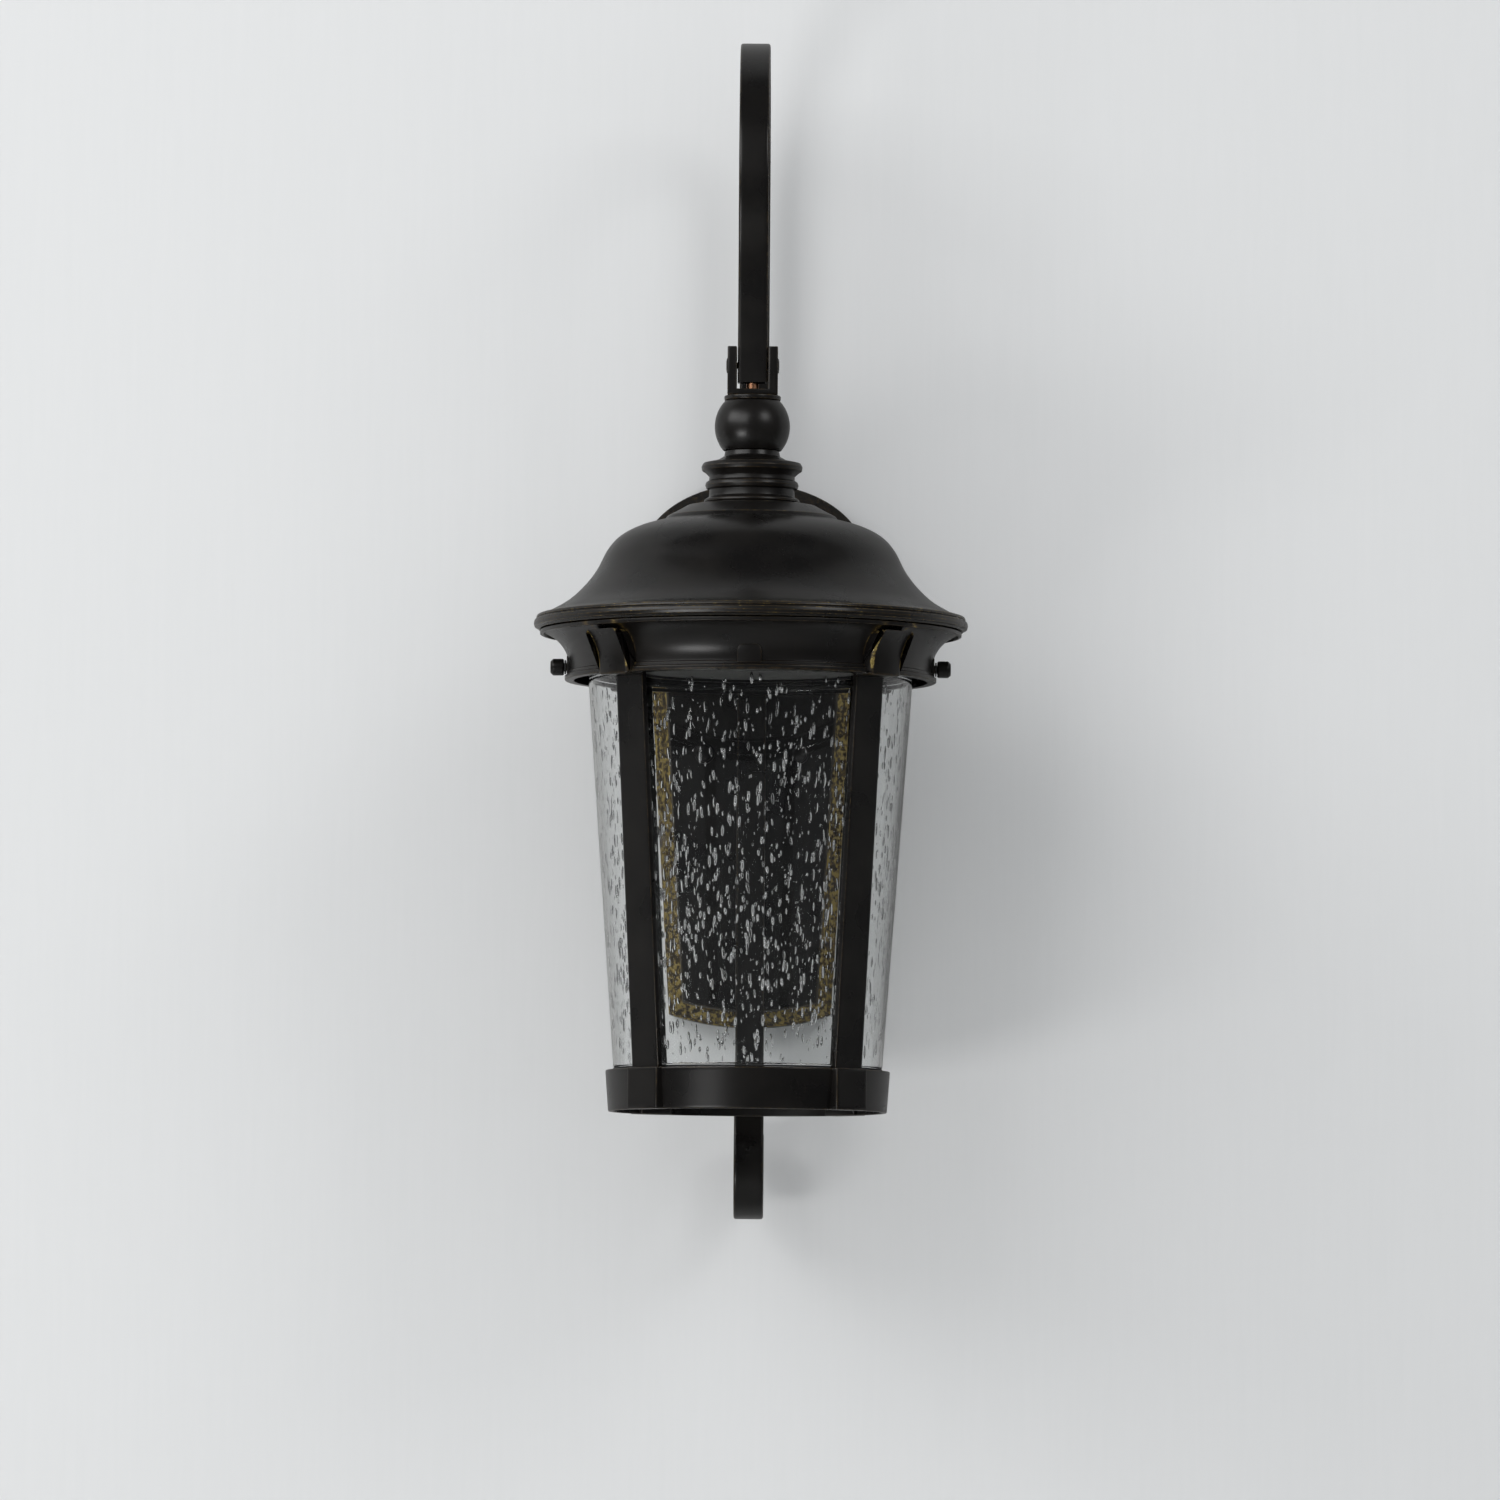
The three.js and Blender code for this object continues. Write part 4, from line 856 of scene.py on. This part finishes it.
arm_outer = bar_section(BAR_DEPTH / 2, BAR_WIDTH / 2, 1.5)
arm_inner = bar_section(BAR_DEPTH / 2 - BAR_WALL, BAR_WIDTH / 2 - BAR_WALL, 0.5)
piece("arm_bar", hollow_swept(arm_outer, arm_inner, crook_path(ARM_FOOT, ARM_TIP)), BRONZE, "arm_tube")
piece("tail_bar", swept(arm_outer, tail_path(HIGH["tail_scroll"].z), 0.8), BRONZE, "tail_scroll")

# ---- leads

LEAD_START = Vector((0, -17, 58))


def loose_core(name, node, offset, finish, *ends):
    """One core from the sheath's cut end into the backplate, with its stripped and twisted tip."""
    start = LEAD_START + Vector((offset, 0.9, 0))
    points = spline([start, start + Vector((offset / 2, 4, -3)), *ends], 1.5)
    bare, strand = 5, 0.42
    piece(name, tube(points[:-bare], 1.0), finish, node)
    strands = []
    for turn in round_turn(3):
        twist = [p + polar(strand, i * 0.9 + turn, 0) for i, p in enumerate(points[-bare - 2 :])]
        strands.append(tube(twist, strand, 10))
    piece(f"{name}_strands", merged(*strands), COPPER, node, extra=True)


loose_core("live_core", "live_lead", -2.6, BLACK_LEAD, (-12, -10, 38), (-16, -11, 20))
loose_core("neutral_core", "neutral_lead", 2.6, WHITE_LEAD, (9, -10, 44), (20, -11, 26))
loose_core("ground_core", "ground_lead", 0, GREEN_LEAD, (2, -9, 30), (10, -6.5, 10.5))


def arm_lead_path():
    rise = LEAD_START.z + 14
    cut_end, bend = Vector((-LEAD_START.y, LEAD_START.z)), Vector((LEG, LEAD_START.z))
    entry = quadratic(cut_end, bend, Vector((LEG, rise)), 12)
    return [Vector((0, -d, z)) for d, z in chained(entry, crook_path(rise, ARM_TIP + 0.5))]


piece("arm_lead_sheath", tube(arm_lead_path(), 2.3), BLACK_LEAD, "arm_lead")


def cubic(a, b, c, d, steps):
    shares = [k / steps for k in range(steps + 1)]
    return [a * (1 - t) ** 3 + b * 3 * t * (1 - t) ** 2 + c * 3 * t * t * (1 - t) + d * t**3 for t in shares]


LEAD_TOP, LEAD_STEP = 186.5, 7.45  # the straight drop through the nipple


def driver_lead_path():
    """Down through the nipple, then over to the driver's end."""
    middle = mid_height("driver")
    at = lambda x, z: Vector((x, -AXIS, z))
    drop = [at(0, LEAD_TOP - k * LEAD_STEP) for k in range(11)]
    first = cubic(at(0, 112), at(0, 98), at(-18, 95), at(-36, 92), 12)
    last = cubic(at(-36, 92), at(-62, 87.5), at(-72, middle), at(LOW["driver"].x - GAP, middle), 20)
    return [*drop[:-1], *first, *last[1:]]


piece("driver_lead_sheath", tube(driver_lead_path(), 3.0, 20), BLACK_LEAD, "driver_lead")

# A short copper sleeve grips the lead where it leaves the nipple, under the arm's open end.
sleeve_low = HIGH["threaded_nipple"].z + 0.2
sleeve_profile = ring_profile(3.05, 3.3, sleeve_low, sleeve_low + 3.0, 0.1, reach=0.5)
piece("lead_sleeve", turned_part(sleeve_profile, 48), COPPER, "lock_nut", extra=True)

# ---- clevis, finial and collar


def clevis_shell():
    half_width, half_depth = HIGH["clevis"].x, (HIGH["clevis"].y - LOW["clevis"].y) / 2
    bottom, top = LOW["clevis"].z, HIGH["clevis"].z
    floor, slot = HIGH["threaded_nipple"].z, BAR_WIDTH / 2 + 0.4
    right = [(half_width, bottom), (half_width, top), (slot, top), (slot, floor)]
    outline = [(-half_width, bottom), *right, *[(-x, z) for x, z in right[:0:-1]]]
    upright = shift(0, -AXIS + half_depth, 0) @ spin(90, "X")
    return eased(moved(extruded(outline, 2 * half_depth), upright), 0.6, reach=0.9)


piece("clevis_yoke", clevis_shell(), BRONZE, "clevis")

for side, sign in (("left", -1), ("right", 1)):
    shell = screw(socket_disc(3.9, 0.7), 1.9, 6.6)
    turn = shift(sign * HIGH["clevis"].x, -AXIS, mid_height("pivot_screw_left")) @ spin(sign * 90, "Y")
    piece(f"pivot_screw_{side}_body", moved(shell, turn), BRONZE_SMALL, f"pivot_screw_{side}")

BORE = 5.2
piece("top_washer_disc", flat_ring("top_washer", BORE, 14.9, 0.7), BRONZE, "top_washer")

BALL_CENTRE, BALL_RADIUS = 163.8, 19.8
ball_low, ball_high = LOW["ball_finial"].z, HIGH["ball_finial"].z
ball_angles = [math.degrees(math.asin((z - BALL_CENTRE) / BALL_RADIUS)) for z in (ball_low, ball_high)]
ball = [(BORE, ball_low), *arc((0, BALL_CENTRE), BALL_RADIUS, *ball_angles, 40), (BORE, ball_high)]
piece("ball_finial_turning", turned_part(ball), BRONZE, "ball_finial")

COLLAR = [
    (25.2, 123.7, 0.4), (25.0, 125.0, 0.6), (22.5, 126.6, 0.9), (22.3, 130.2, 0.5), (23.9, 130.9, 0.5),
    (24.6, 132.6, 0.9), (24.1, 134.2, 0.7), (22.6, 135.2, 0.4), (22.4, 137.2, 0.8), (24.4, 139.2, 1.6),
    (26.3, 140.4, 1.0), (26.6, 142.4, 1.0), (25.6, 144.4, 0.8), (18.4, 145.9, 1.2), (14.7, 148.0, 1.4),
    (14.2, 150.9, 0.3),
]
collar_low, collar_high = LOW["collar"].z, HIGH["collar"].z
collar = [(BORE + 1, collar_low), *COLLAR, (BORE + 1, collar_high)]
collar = [(BORE, collar_low), *filleted(collar, 0.5, steps=5, closed=False), (BORE, collar_high)]
piece("collar_turning", turned_part(collar), BRONZE, "collar")

# ---- roof

ROOF_TOP = 123.4
ROOF_WALL = 2.3
RIM_BOTTOM = LOW["roof"].z
RIM_RADIUS = HIGH["roof"].x
RIM_INNER = 107.4
BELL = [
    (106.2, 65.2), (96.2, 71), (87.8, 78.7), (81.2, 87.3), (75.4, 98.3), (68.8, 105.5), (58.6, 110.8),
    (45.5, 114.4),
]
DOME = [(45.5, 114.4), (44.3, 116.2), (39.4, 118.7), (33.6, 121.9), (30.2, 122.5), (25.2, 123.4)]


def offset_inwards(outline, distance):
    shifted = []
    for i, point in enumerate(outline):
        along = (outline[min(i + 1, len(outline) - 1)] - outline[max(i - 1, 0)]).normalized()
        shifted.append(point + Vector((-along.y, along.x)) * distance)
    return shifted


def roof_shell():
    outside = [*spline(BELL, 1.8), *filleted(DOME, 1.2, closed=False)[1:]]
    # The rolled rim: distance in from its widest, height and rounding.
    rolled = (
        (2.4, 0, 0.3), (1.8, 0.9, 0.3), (0.4, 1.3, 0.5), (0, 3.0, 1.2), (0.3, 4.8, 0.6), (1.7, 5.1, 0.25),
        (1.7, 5.6, 0.2), (1.2, 6.0, 0.4), (1.6, 7.3, 0.8), (4.5, 8.1, 1.0), (7.8, 9.1, 0),
    )
    corners = [(RIM_RADIUS - inset, RIM_BOTTOM + rise, ease) for inset, rise, ease in rolled]
    rim = filleted([(RIM_INNER, RIM_BOTTOM, 0.4), *corners], 0.4, steps=5, closed=False)
    inside = offset_inwards(outside, ROOF_WALL)[::3]
    top = [(BORE, ROOF_TOP), (BORE, ROOF_TOP - ROOF_WALL)]
    return turned_part([*rim, *outside[1:], *top, *inside[::-1]], 192)


piece("roof_spinning", roof_shell(), BRONZE, "roof", wear=0.45)
gasket_ring = flat_ring("roof_gasket", 103.3, HIGH["roof_gasket"].x, 0.6)
piece("roof_gasket_ring", gasket_ring, BLACK_RUBBER, "roof_gasket")

# ---- roof pan, lamp engine

PAN_RADIUS, PAN_WALL = 85, 2
PAN_BOTTOM = LOW["roof_pan"].z
PAN_WEB, FLANGE_RADIUS = 55, 96.5
FLANGE_TOP = HIGH["roof_pan"].z


def pan_shell():
    inner = PAN_RADIUS - PAN_WALL
    corners = [
        (PAN_RADIUS, PAN_BOTTOM, 0.6), (PAN_RADIUS, FLANGE_TOP - 2, 1.0),
        (FLANGE_RADIUS, FLANGE_TOP - 2, 0.4), (FLANGE_RADIUS, FLANGE_TOP, 0.4),
        (inner, FLANGE_TOP, 2.0), (inner, PAN_WEB + 2, 1.0), (12, PAN_WEB + 2, 0.4), (12, PAN_WEB, 0.4),
        (66, PAN_WEB, 0.6), (67.5, PAN_WEB - 1.2, 0.6), (inner - 3, PAN_WEB - 1.2, 1.2),
        (inner, PAN_WEB - 4, 1.2), (inner, PAN_BOTTOM, 0.5),
    ]
    return turned_part(supported(filleted(corners, 0.5)), 160)


piece("roof_pan_spinning", pan_shell(), BRONZE_SMALL, "roof_pan")

CAN_RADIUS, CAN_LIP = 62, 57.5
CAN_TOP, CAN_BOTTOM = HIGH["engine_can"].z, LOW["engine_can"].z
can_corners = [
    (CAN_LIP, CAN_BOTTOM, 0.4), (CAN_RADIUS, CAN_BOTTOM, 1.6), (CAN_RADIUS, CAN_TOP, 0.3),
    (CAN_RADIUS - 2, CAN_TOP, 0.3), (CAN_RADIUS - 2, CAN_BOTTOM + 1.2, 0.5),
    (CAN_LIP, CAN_BOTTOM + 1.2, 0.3),
]
piece("engine_can_shell", turned_part(supported(filleted(can_corners, 0.4))), BRONZE_SMALL, "engine_can")

lens_low, lens_high = LOW["diffuser_lens"].z, HIGH["diffuser_lens"].z
LENS_RADIUS = CAN_RADIUS - 2.4
lens_profile = [(0, lens_low + 0.35)]
PRISM_PITCH = 2.4
for step in range(1, int(50 / PRISM_PITCH)):
    lens_profile += [(step * PRISM_PITCH, lens_low + 0.05), (step * PRISM_PITCH + 0.5, lens_low + 0.35)]
lens_profile += [(54, lens_low), (LENS_RADIUS - 0.3, lens_low), (LENS_RADIUS, lens_low + 0.3)]
lens_profile += [(LENS_RADIUS, lens_high - 0.3), (LENS_RADIUS - 0.3, lens_high), (0, lens_high)]
piece("diffuser_disc", turned_part(lens_profile, 96), LENS_FROST, "diffuser_lens")


def driver_shell():
    """A moulded case and its lid, with a sunk neck between them that shows as the seam."""
    low, high = LOW["driver"], HIGH["driver"]
    seam = high.z - 6
    layers = []
    for inset, bottom, top, ease, steps in (
        (0, low.z, seam - 0.3, 1.6, 4),
        (0.8, seam - 1.2, seam + 0.8, 0.6, 2),
        (0, seam + 0.3, high.z, 1.4, 4),
    ):
        layer = box((low.x + inset, low.y + inset, bottom), (high.x - inset, high.y - inset, top))
        layers.append(eased(layer, ease, steps, reach=0))
    return merged(*layers)


piece("driver_case_moulding", driver_shell(), DRIVER_CASE, "driver")

# ---- gallery ring

THROAT, COVE_RADIUS, COVE_BASE, MOUTH = 95, 21, 35, 110.2
GALLERY_BOTTOM, GALLERY_BEAD, GALLERY_WALL = 29.3, 97.6, 2.2
CORNERS = {"front_left": 225, "front_right": 315, "rear_right": 45, "rear_left": 135}


def cove(radius, steps):
    centre = THROAT + COVE_RADIUS
    top = math.degrees(math.acos((MOUTH - centre) / COVE_RADIUS))
    return arc((centre, COVE_BASE), radius, 180, top, steps)


def gallery_profile():
    rim_top = RIM_BOTTOM - 0.4
    inside = [p for p in cove(COVE_RADIUS + GALLERY_WALL, 14) if p.y < rim_top - 0.5]
    outside = [p for p in cove(COVE_RADIUS, 30) if p.x < MOUTH - 1.6]
    lower = [
        (THROAT - GALLERY_WALL, GALLERY_BOTTOM, 0.3), (GALLERY_BEAD, GALLERY_BOTTOM, 0.7),
        (GALLERY_BEAD, GALLERY_BOTTOM + 2.4, 0.6), (THROAT + 0.9, GALLERY_BOTTOM + 2.9, 0.2),
        (THROAT + 0.9, GALLERY_BOTTOM + 4.3, 0.3), (THROAT, GALLERY_BOTTOM + 4.8, 0.3),
        (THROAT, COVE_BASE + 0.5, 0),
    ]
    top = [
        (MOUTH - 1.2, rim_top - 2.4, 0.2), (MOUTH + 0.5, rim_top - 2.2, 0.4),
        (MOUTH + 0.5, rim_top - 0.2, 0.4), (MOUTH - 1.0, rim_top, 0.2), (105, rim_top, 0),
    ]
    lower, top = [filleted(corners, 0.3, closed=False) for corners in (lower, top)]
    return [*lower, *[p for p in outside if p.y > COVE_BASE + 1], *top, *inside[::-1]]


def post_frame(angle):
    """A post's own frame: x out through its face, z up along the bar, origin in its face's middle."""
    lean = Matrix.Rotation(math.atan(POST_SLOPE), 4, "Y")
    return shift(0, -AXIS, 0) @ spin(angle) @ shift(post_face(POST_MIDDLE), 0, POST_MIDDLE) @ lean


FACE_TOP, FACE_LOW = (30.8, 88.9), (-172, 75)  # (height, radius) of the posts' faces
POST_SLOPE = (FACE_TOP[1] - FACE_LOW[1]) / (FACE_TOP[0] - FACE_LOW[0])
POST_TOP, POST_BOTTOM = 49.5, -187.5
POST_MIDDLE = (POST_TOP + POST_BOTTOM) / 2
POST_WIDTH, POST_THICKNESS = 19.5, 3.3
BLOCK_WIDTH, BLOCK_BOTTOM, BLOCK_TOP, BLOCK_FOOT, BLOCK_COVE = 22, 28, 51, 100.6, 26
BLOCK_EASE = 2.2


def post_face(height):
    return FACE_TOP[1] + POST_SLOPE * (height - FACE_TOP[0])


def block_shell(angle):
    """The block over a post. Its front follows the cove, between two curved edges."""
    base = BLOCK_BOTTOM + 3
    end = math.degrees(math.asin((BLOCK_TOP - base) / BLOCK_COVE))
    front = arc((BLOCK_FOOT + BLOCK_COVE, base), BLOCK_COVE, 180, 180 - end, 16)
    back_low, back_high = post_face(BLOCK_BOTTOM) - 1, post_face(BLOCK_TOP) - 1
    corners = [(back_low, BLOCK_BOTTOM), (BLOCK_FOOT, BLOCK_BOTTOM), *front, (back_high, BLOCK_TOP)]
    corners = [(x, y, 1.0 if y < base + 2.5 else 0) for x, y in corners]  # only the foot is rounded
    shell = pillowed(supported(filleted(corners, 1.0), reach=0.8), BLOCK_WIDTH, BLOCK_EASE)
    return on_axis(moved(shell, spin(angle) @ shift(0, BLOCK_WIDTH / 2, 0) @ spin(90, "X")))


PAD_WIDTH, PAD_BOTTOM, PAD_TOP, PAD_FACE = 12.6, 32.7, 42.4, 96.5


def pad_shell(angle):
    """A raised pad with a rounded top, square to the radius. Two of the four carry a thumbscrew."""
    half = PAD_WIDTH / 2
    corners = [(-half, PAD_BOTTOM, 0), (half, PAD_BOTTOM, 0), (half, PAD_TOP, 4), (-half, PAD_TOP, 4)]
    back = THROAT - 1.2
    shell = facing_room(extruded(filleted(corners, 4, steps=8), PAD_FACE - back), 0, back, 0)
    return on_axis(moved(eased(shell, 0.5, 3, reach=0, sharper_than=50), spin(angle)))


gallery_shell = merged(
    turned_part(gallery_profile(), 192),
    *[block_shell(angle) for angle in CORNERS.values()],
    *[pad_shell(angle) for angle in (0, 90, 180, 270)],
)


def block_band(point):
    """The blocks' two curved front edges are rubbed to gold, made strongest in the middle of the cove as a
    painted highlight on the edge. The gallery's underside gets a light rub that is partly wear and partly
    painted highlight lines along its bottom bead.
    """
    x, y = point.x, point.y + AXIS
    for angle in CORNERS.values():
        out = Vector((math.cos(math.radians(angle)), math.sin(math.radians(angle))))
        along, aside = x * out.x + y * out.y, abs(out.x * y - out.y * x)
        if along > THROAT and BLOCK_WIDTH / 2 - BLOCK_EASE + 0.1 < aside < BLOCK_WIDTH / 2 - 0.05:
            height = (point.z - BLOCK_BOTTOM - 3) / (BLOCK_TOP - BLOCK_BOTTOM - 3)
            # strongest mid-cove: rubbed gold plus a painted highlight along the edge
            return 0.6 + 0.9 * math.sin(math.pi * min(max(height, 0), 1)) if height > 0.05 else 0.3
    radial = math.hypot(x, y)
    # light rub under the gallery: edge wear plus painted highlight lines on the bottom bead
    return 0.25 if radial > THROAT + 1 and point.z < GALLERY_BOTTOM + 1 else 0.0


piece("gallery_casting", gallery_shell, BRONZE, "gallery_ring", band=block_band)

# ---- posts, bottom ring


def post_shell(angle):
    length = (POST_TOP - POST_BOTTOM) * math.hypot(1, POST_SLOPE)
    low = (-POST_THICKNESS, -POST_WIDTH / 2, -length / 2)
    high = (0, POST_WIDTH / 2, length / 2)
    return moved(eased(box(low, high), 0.45, 3, reach=1.0), post_frame(angle))


for corner, angle in CORNERS.items():
    piece(f"post_{corner}_bar", post_shell(angle), BRONZE, f"post_{corner}")

RING_TOP, RING_BOTTOM = HIGH["bottom_ring"].z, LOW["bottom_ring"].z
RING_TOP_RADIUS, RING_BOTTOM_RADIUS, LEDGE = 74.6, 73, 64
FOOT_WIDTH, FOOT_INNER, FOOT_OUTER = 22, 68, 77.2


def ring_shell():
    corners = [
        (RING_BOTTOM_RADIUS - 2.2, RING_BOTTOM, 0.5), (RING_BOTTOM_RADIUS, RING_BOTTOM, 0.8),
        (RING_TOP_RADIUS, RING_TOP, 0.9), (LEDGE, RING_TOP, 0.6), (LEDGE, RING_TOP - 3, 0.6),
        (RING_TOP_RADIUS - 2.8, RING_TOP - 3, 1.0),
    ]
    feet = []
    for angle in CORNERS.values():
        low = (FOOT_INNER, -FOOT_WIDTH / 2, RING_BOTTOM)
        high = (FOOT_OUTER, FOOT_WIDTH / 2, RING_TOP)
        foot = eased(box(low, high), 0.7, 3, reach=1.2)
        feet.append(on_axis(moved(foot, spin(angle))))
    return merged(turned_part(supported(filleted(corners, 0.6)), 160), *feet)


piece("bottom_ring_casting", ring_shell(), BRONZE, "bottom_ring")

# ---- glass, its bubbles and gaskets

GLASS_TOP, GLASS_BOTTOM = HIGH["glass_shade"].z, LOW["glass_shade"].z
GLASS_TOP_RADIUS, GLASS_BOTTOM_RADIUS, GLASS_WALL = 85.2, 70.5, 2
glass_corners = [
    (GLASS_BOTTOM_RADIUS - GLASS_WALL, GLASS_BOTTOM), (GLASS_BOTTOM_RADIUS, GLASS_BOTTOM),
    (GLASS_TOP_RADIUS, GLASS_TOP), (GLASS_TOP_RADIUS - GLASS_WALL, GLASS_TOP),
]
glass_profile = supported(filleted(glass_corners, 0.8, steps=5), reach=0.8)
piece("glass_cone", turned_part(glass_profile, 192), GLASS, "glass_shade", smooth=60)

BUBBLE_COUNT = 2600
draw = random.Random(41)


def bubble_shell():
    """Air bubbles drawn out along the glass, kept inside its wall."""
    slope = math.atan((GLASS_TOP_RADIUS - GLASS_BOTTOM_RADIUS) / (GLASS_TOP - GLASS_BOTTOM))
    unit = turned([(0, -1), (0.55, -0.78), (0.92, -0.35), (0.96, 0.3), (0.6, 0.78), (0, 1)], 8)
    bubbles = []
    for _ in range(BUBBLE_COUNT):
        half_length = min(3.6, max(0.5, draw.lognormvariate(0.45, 0.62)))
        half_width = min(0.95, max(0.32, half_length * draw.uniform(0.24, 0.5)))
        half_depth = min(0.62, half_width * 0.8)
        height = draw.uniform(GLASS_BOTTOM + 6, GLASS_TOP - 5)
        share = (height - GLASS_BOTTOM) / (GLASS_TOP - GLASS_BOTTOM)
        outer = GLASS_BOTTOM_RADIUS + (GLASS_TOP_RADIUS - GLASS_BOTTOM_RADIUS) * share
        radius = outer - GLASS_WALL / 2 + draw.uniform(-0.2, 0.2)
        place = (
            shift(0, -AXIS, 0)
            @ Matrix.Rotation(draw.uniform(0, 2 * math.pi), 4, "Z")
            @ shift(radius, 0, height)
            @ Matrix.Rotation(slope, 4, "Y")
            @ spin(draw.gauss(0, 5), "X")
            @ Matrix.Diagonal((half_depth, half_width, half_length, 1))
        )
        bubbles.append(moved(unit, place))
    return merged(*bubbles)


piece("glass_bubbles", bubble_shell(), BUBBLE, "glass_shade", extra=True, smooth=180)

for name, node, inner, outer in (
    ("glass_top_seal", "glass_top_gasket", GLASS_TOP_RADIUS - GLASS_WALL, PAN_RADIUS),
    ("glass_foot_seal", "glass_foot_gasket", 66.5, 70.5),
):
    piece(name, flat_ring(node, inner, outer, 0.4), BLACK_RUBBER, node)

# ---- thumbscrews

THUMB_HEAD, THUMB_NECK = 4.4, 2.2
HEAD_BACK, HEAD_FRONT = 98, HIGH["thumbscrew_right"].x


def thumbscrew_shell():
    """Smooth barrel head with rounded ends, a plain neck and a threaded, turned-down tip."""
    corners = [
        (THUMB_NECK, HEAD_BACK, 0.2), (THUMB_HEAD - 0.5, HEAD_BACK, 0.4),
        (THUMB_HEAD, HEAD_BACK + 0.7, 0.6), (THUMB_HEAD, HEAD_FRONT - 1.5, 1.0),
        (THUMB_HEAD - 1.3, HEAD_FRONT - 0.1, 0.8), (0, HEAD_FRONT, 0),
    ]
    pitch, tip, turns = 0.7, 85.5, 14
    thread = [(0, tip), (1.4, tip), (1.8, tip + 0.6)]
    for k in range(turns):
        low = tip + 0.8 + k * pitch
        thread += [(THUMB_NECK, low + 0.25 * pitch), (THUMB_NECK - 0.32, low + 0.75 * pitch)]
    return turned([*thread, (THUMB_NECK, 96.4), *filleted(corners, 0.4, closed=False)], 48)


washer = turned(ring_profile(THUMB_NECK + 0.2, 3.7, 96.9, 97.7, 0.25), 40)
for side, angle in (("left", 180), ("right", 0)):
    outwards = shift(0, -AXIS, mid_height("thumbscrew_left")) @ spin(angle) @ spin(90, "Y")
    piece(f"thumbscrew_{side}_body", moved(thumbscrew_shell(), outwards), BRONZE_SMALL, f"thumbscrew_{side}")
    node = f"thumbscrew_washer_{side}"
    piece(f"{node}_ring", moved(washer, outwards), BLACK_RUBBER, node)

# ---- CAD nodes that stay

KEPT = {
    "threaded_nipple": ZINC, "lock_nut": BRASS, "heat_spreader": ALUMINIUM,
    "led_board": BOARD_WHITE, "reflector": WHITE_PAINT, "led_lead": WHITE_LEAD,
}
SCREWS = ("pan_screw", "engine_screw", "post_screw")
KEPT.update({node: ZINC for node in frame["nodes"] if node.startswith(SCREWS)})
for node, finish in KEPT.items():
    thing = frame["nodes"][node]
    thing.data.materials.clear()
    thing.data.materials.append(finish)

# ---- floor, wall and light

WALL_GAP = 0.8
FLOOR_HEIGHT, WALL_TOP = -1500, 3500
WALL_REACH, FLOOR_REACH = 4000, 9000


def stage_plane(name, corners, finish):
    mesh = bpy.data.meshes.new(name)
    mesh.from_pydata([Vector(c) * MM for c in corners], [], [(0, 1, 2, 3)])
    mesh.materials.append(finish)
    thing = bpy.data.objects.new(name, mesh)
    scene.collection.objects.link(thing)


ends = ((-1, FLOOR_HEIGHT), (1, FLOOR_HEIGHT), (1, WALL_TOP), (-1, WALL_TOP))
stage_plane("stage_wall", [(side * WALL_REACH, WALL_GAP, z) for side, z in ends], screen_finish())
sides = ((-1, -1), (1, -1), (1, 1), (-1, 1))
stage_plane(
    "stage_floor",
    [(x * FLOOR_REACH, y * FLOOR_REACH, FLOOR_HEIGHT) for x, y in sides],
    plain_finish("stage_floor", (0.5, 0.505, 0.5), (0.54, 0.542, 0.54), 0.7, grain=8, depth=0.05),
)


def softbox(name, place, target, width, height, power):
    light = bpy.data.lights.new(name, "AREA")
    light.shape = "RECTANGLE"
    light.size, light.size_y = width * MM, height * MM
    light.energy = power
    thing = bpy.data.objects.new(name, light)
    scene.collection.objects.link(thing)
    aim(thing, place, target)


softbox("key", (-1400, -2300, 1250), (0, -100, 20), 1700, 1300, 18)
softbox("side_left", (-3000, -1500, 1700), (0, -100, 0), 1800, 1500, 29)
softbox("low_left", (-1500, -2300, -1000), (0, -100, 0), 1200, 450, 15)
softbox("fill_right", (1900, -2200, 1600), (0, -120, 0), 1200, 1000, 14)

world = bpy.data.worlds.new("studio")
scene.world = world
world.use_nodes = True
world_nodes, world_links = world.node_tree.nodes, world.node_tree.links
room = world_nodes["Background"]
dim_room = world_nodes.new("ShaderNodeBackground")  # the room as a shiny surface mirrors it
for background, strength in ((room, 0.73), (dim_room, 0.07)):
    background.inputs["Color"].default_value = (0.9, 0.92, 0.95, 1)
    background.inputs["Strength"].default_value = strength
light_path = world_nodes.new("ShaderNodeLightPath")
room_mix = world_nodes.new("ShaderNodeMixShader")
world_links.new(light_path.outputs["Glossy Depth"], room_mix.inputs["Fac"])
world_links.new(room.outputs["Background"], room_mix.inputs[1])
world_links.new(dim_room.outputs["Background"], room_mix.inputs[2])
world_links.new(room_mix.outputs["Shader"], world_nodes["World Output"].inputs["Surface"])

scene.view_settings.view_transform = "Standard"
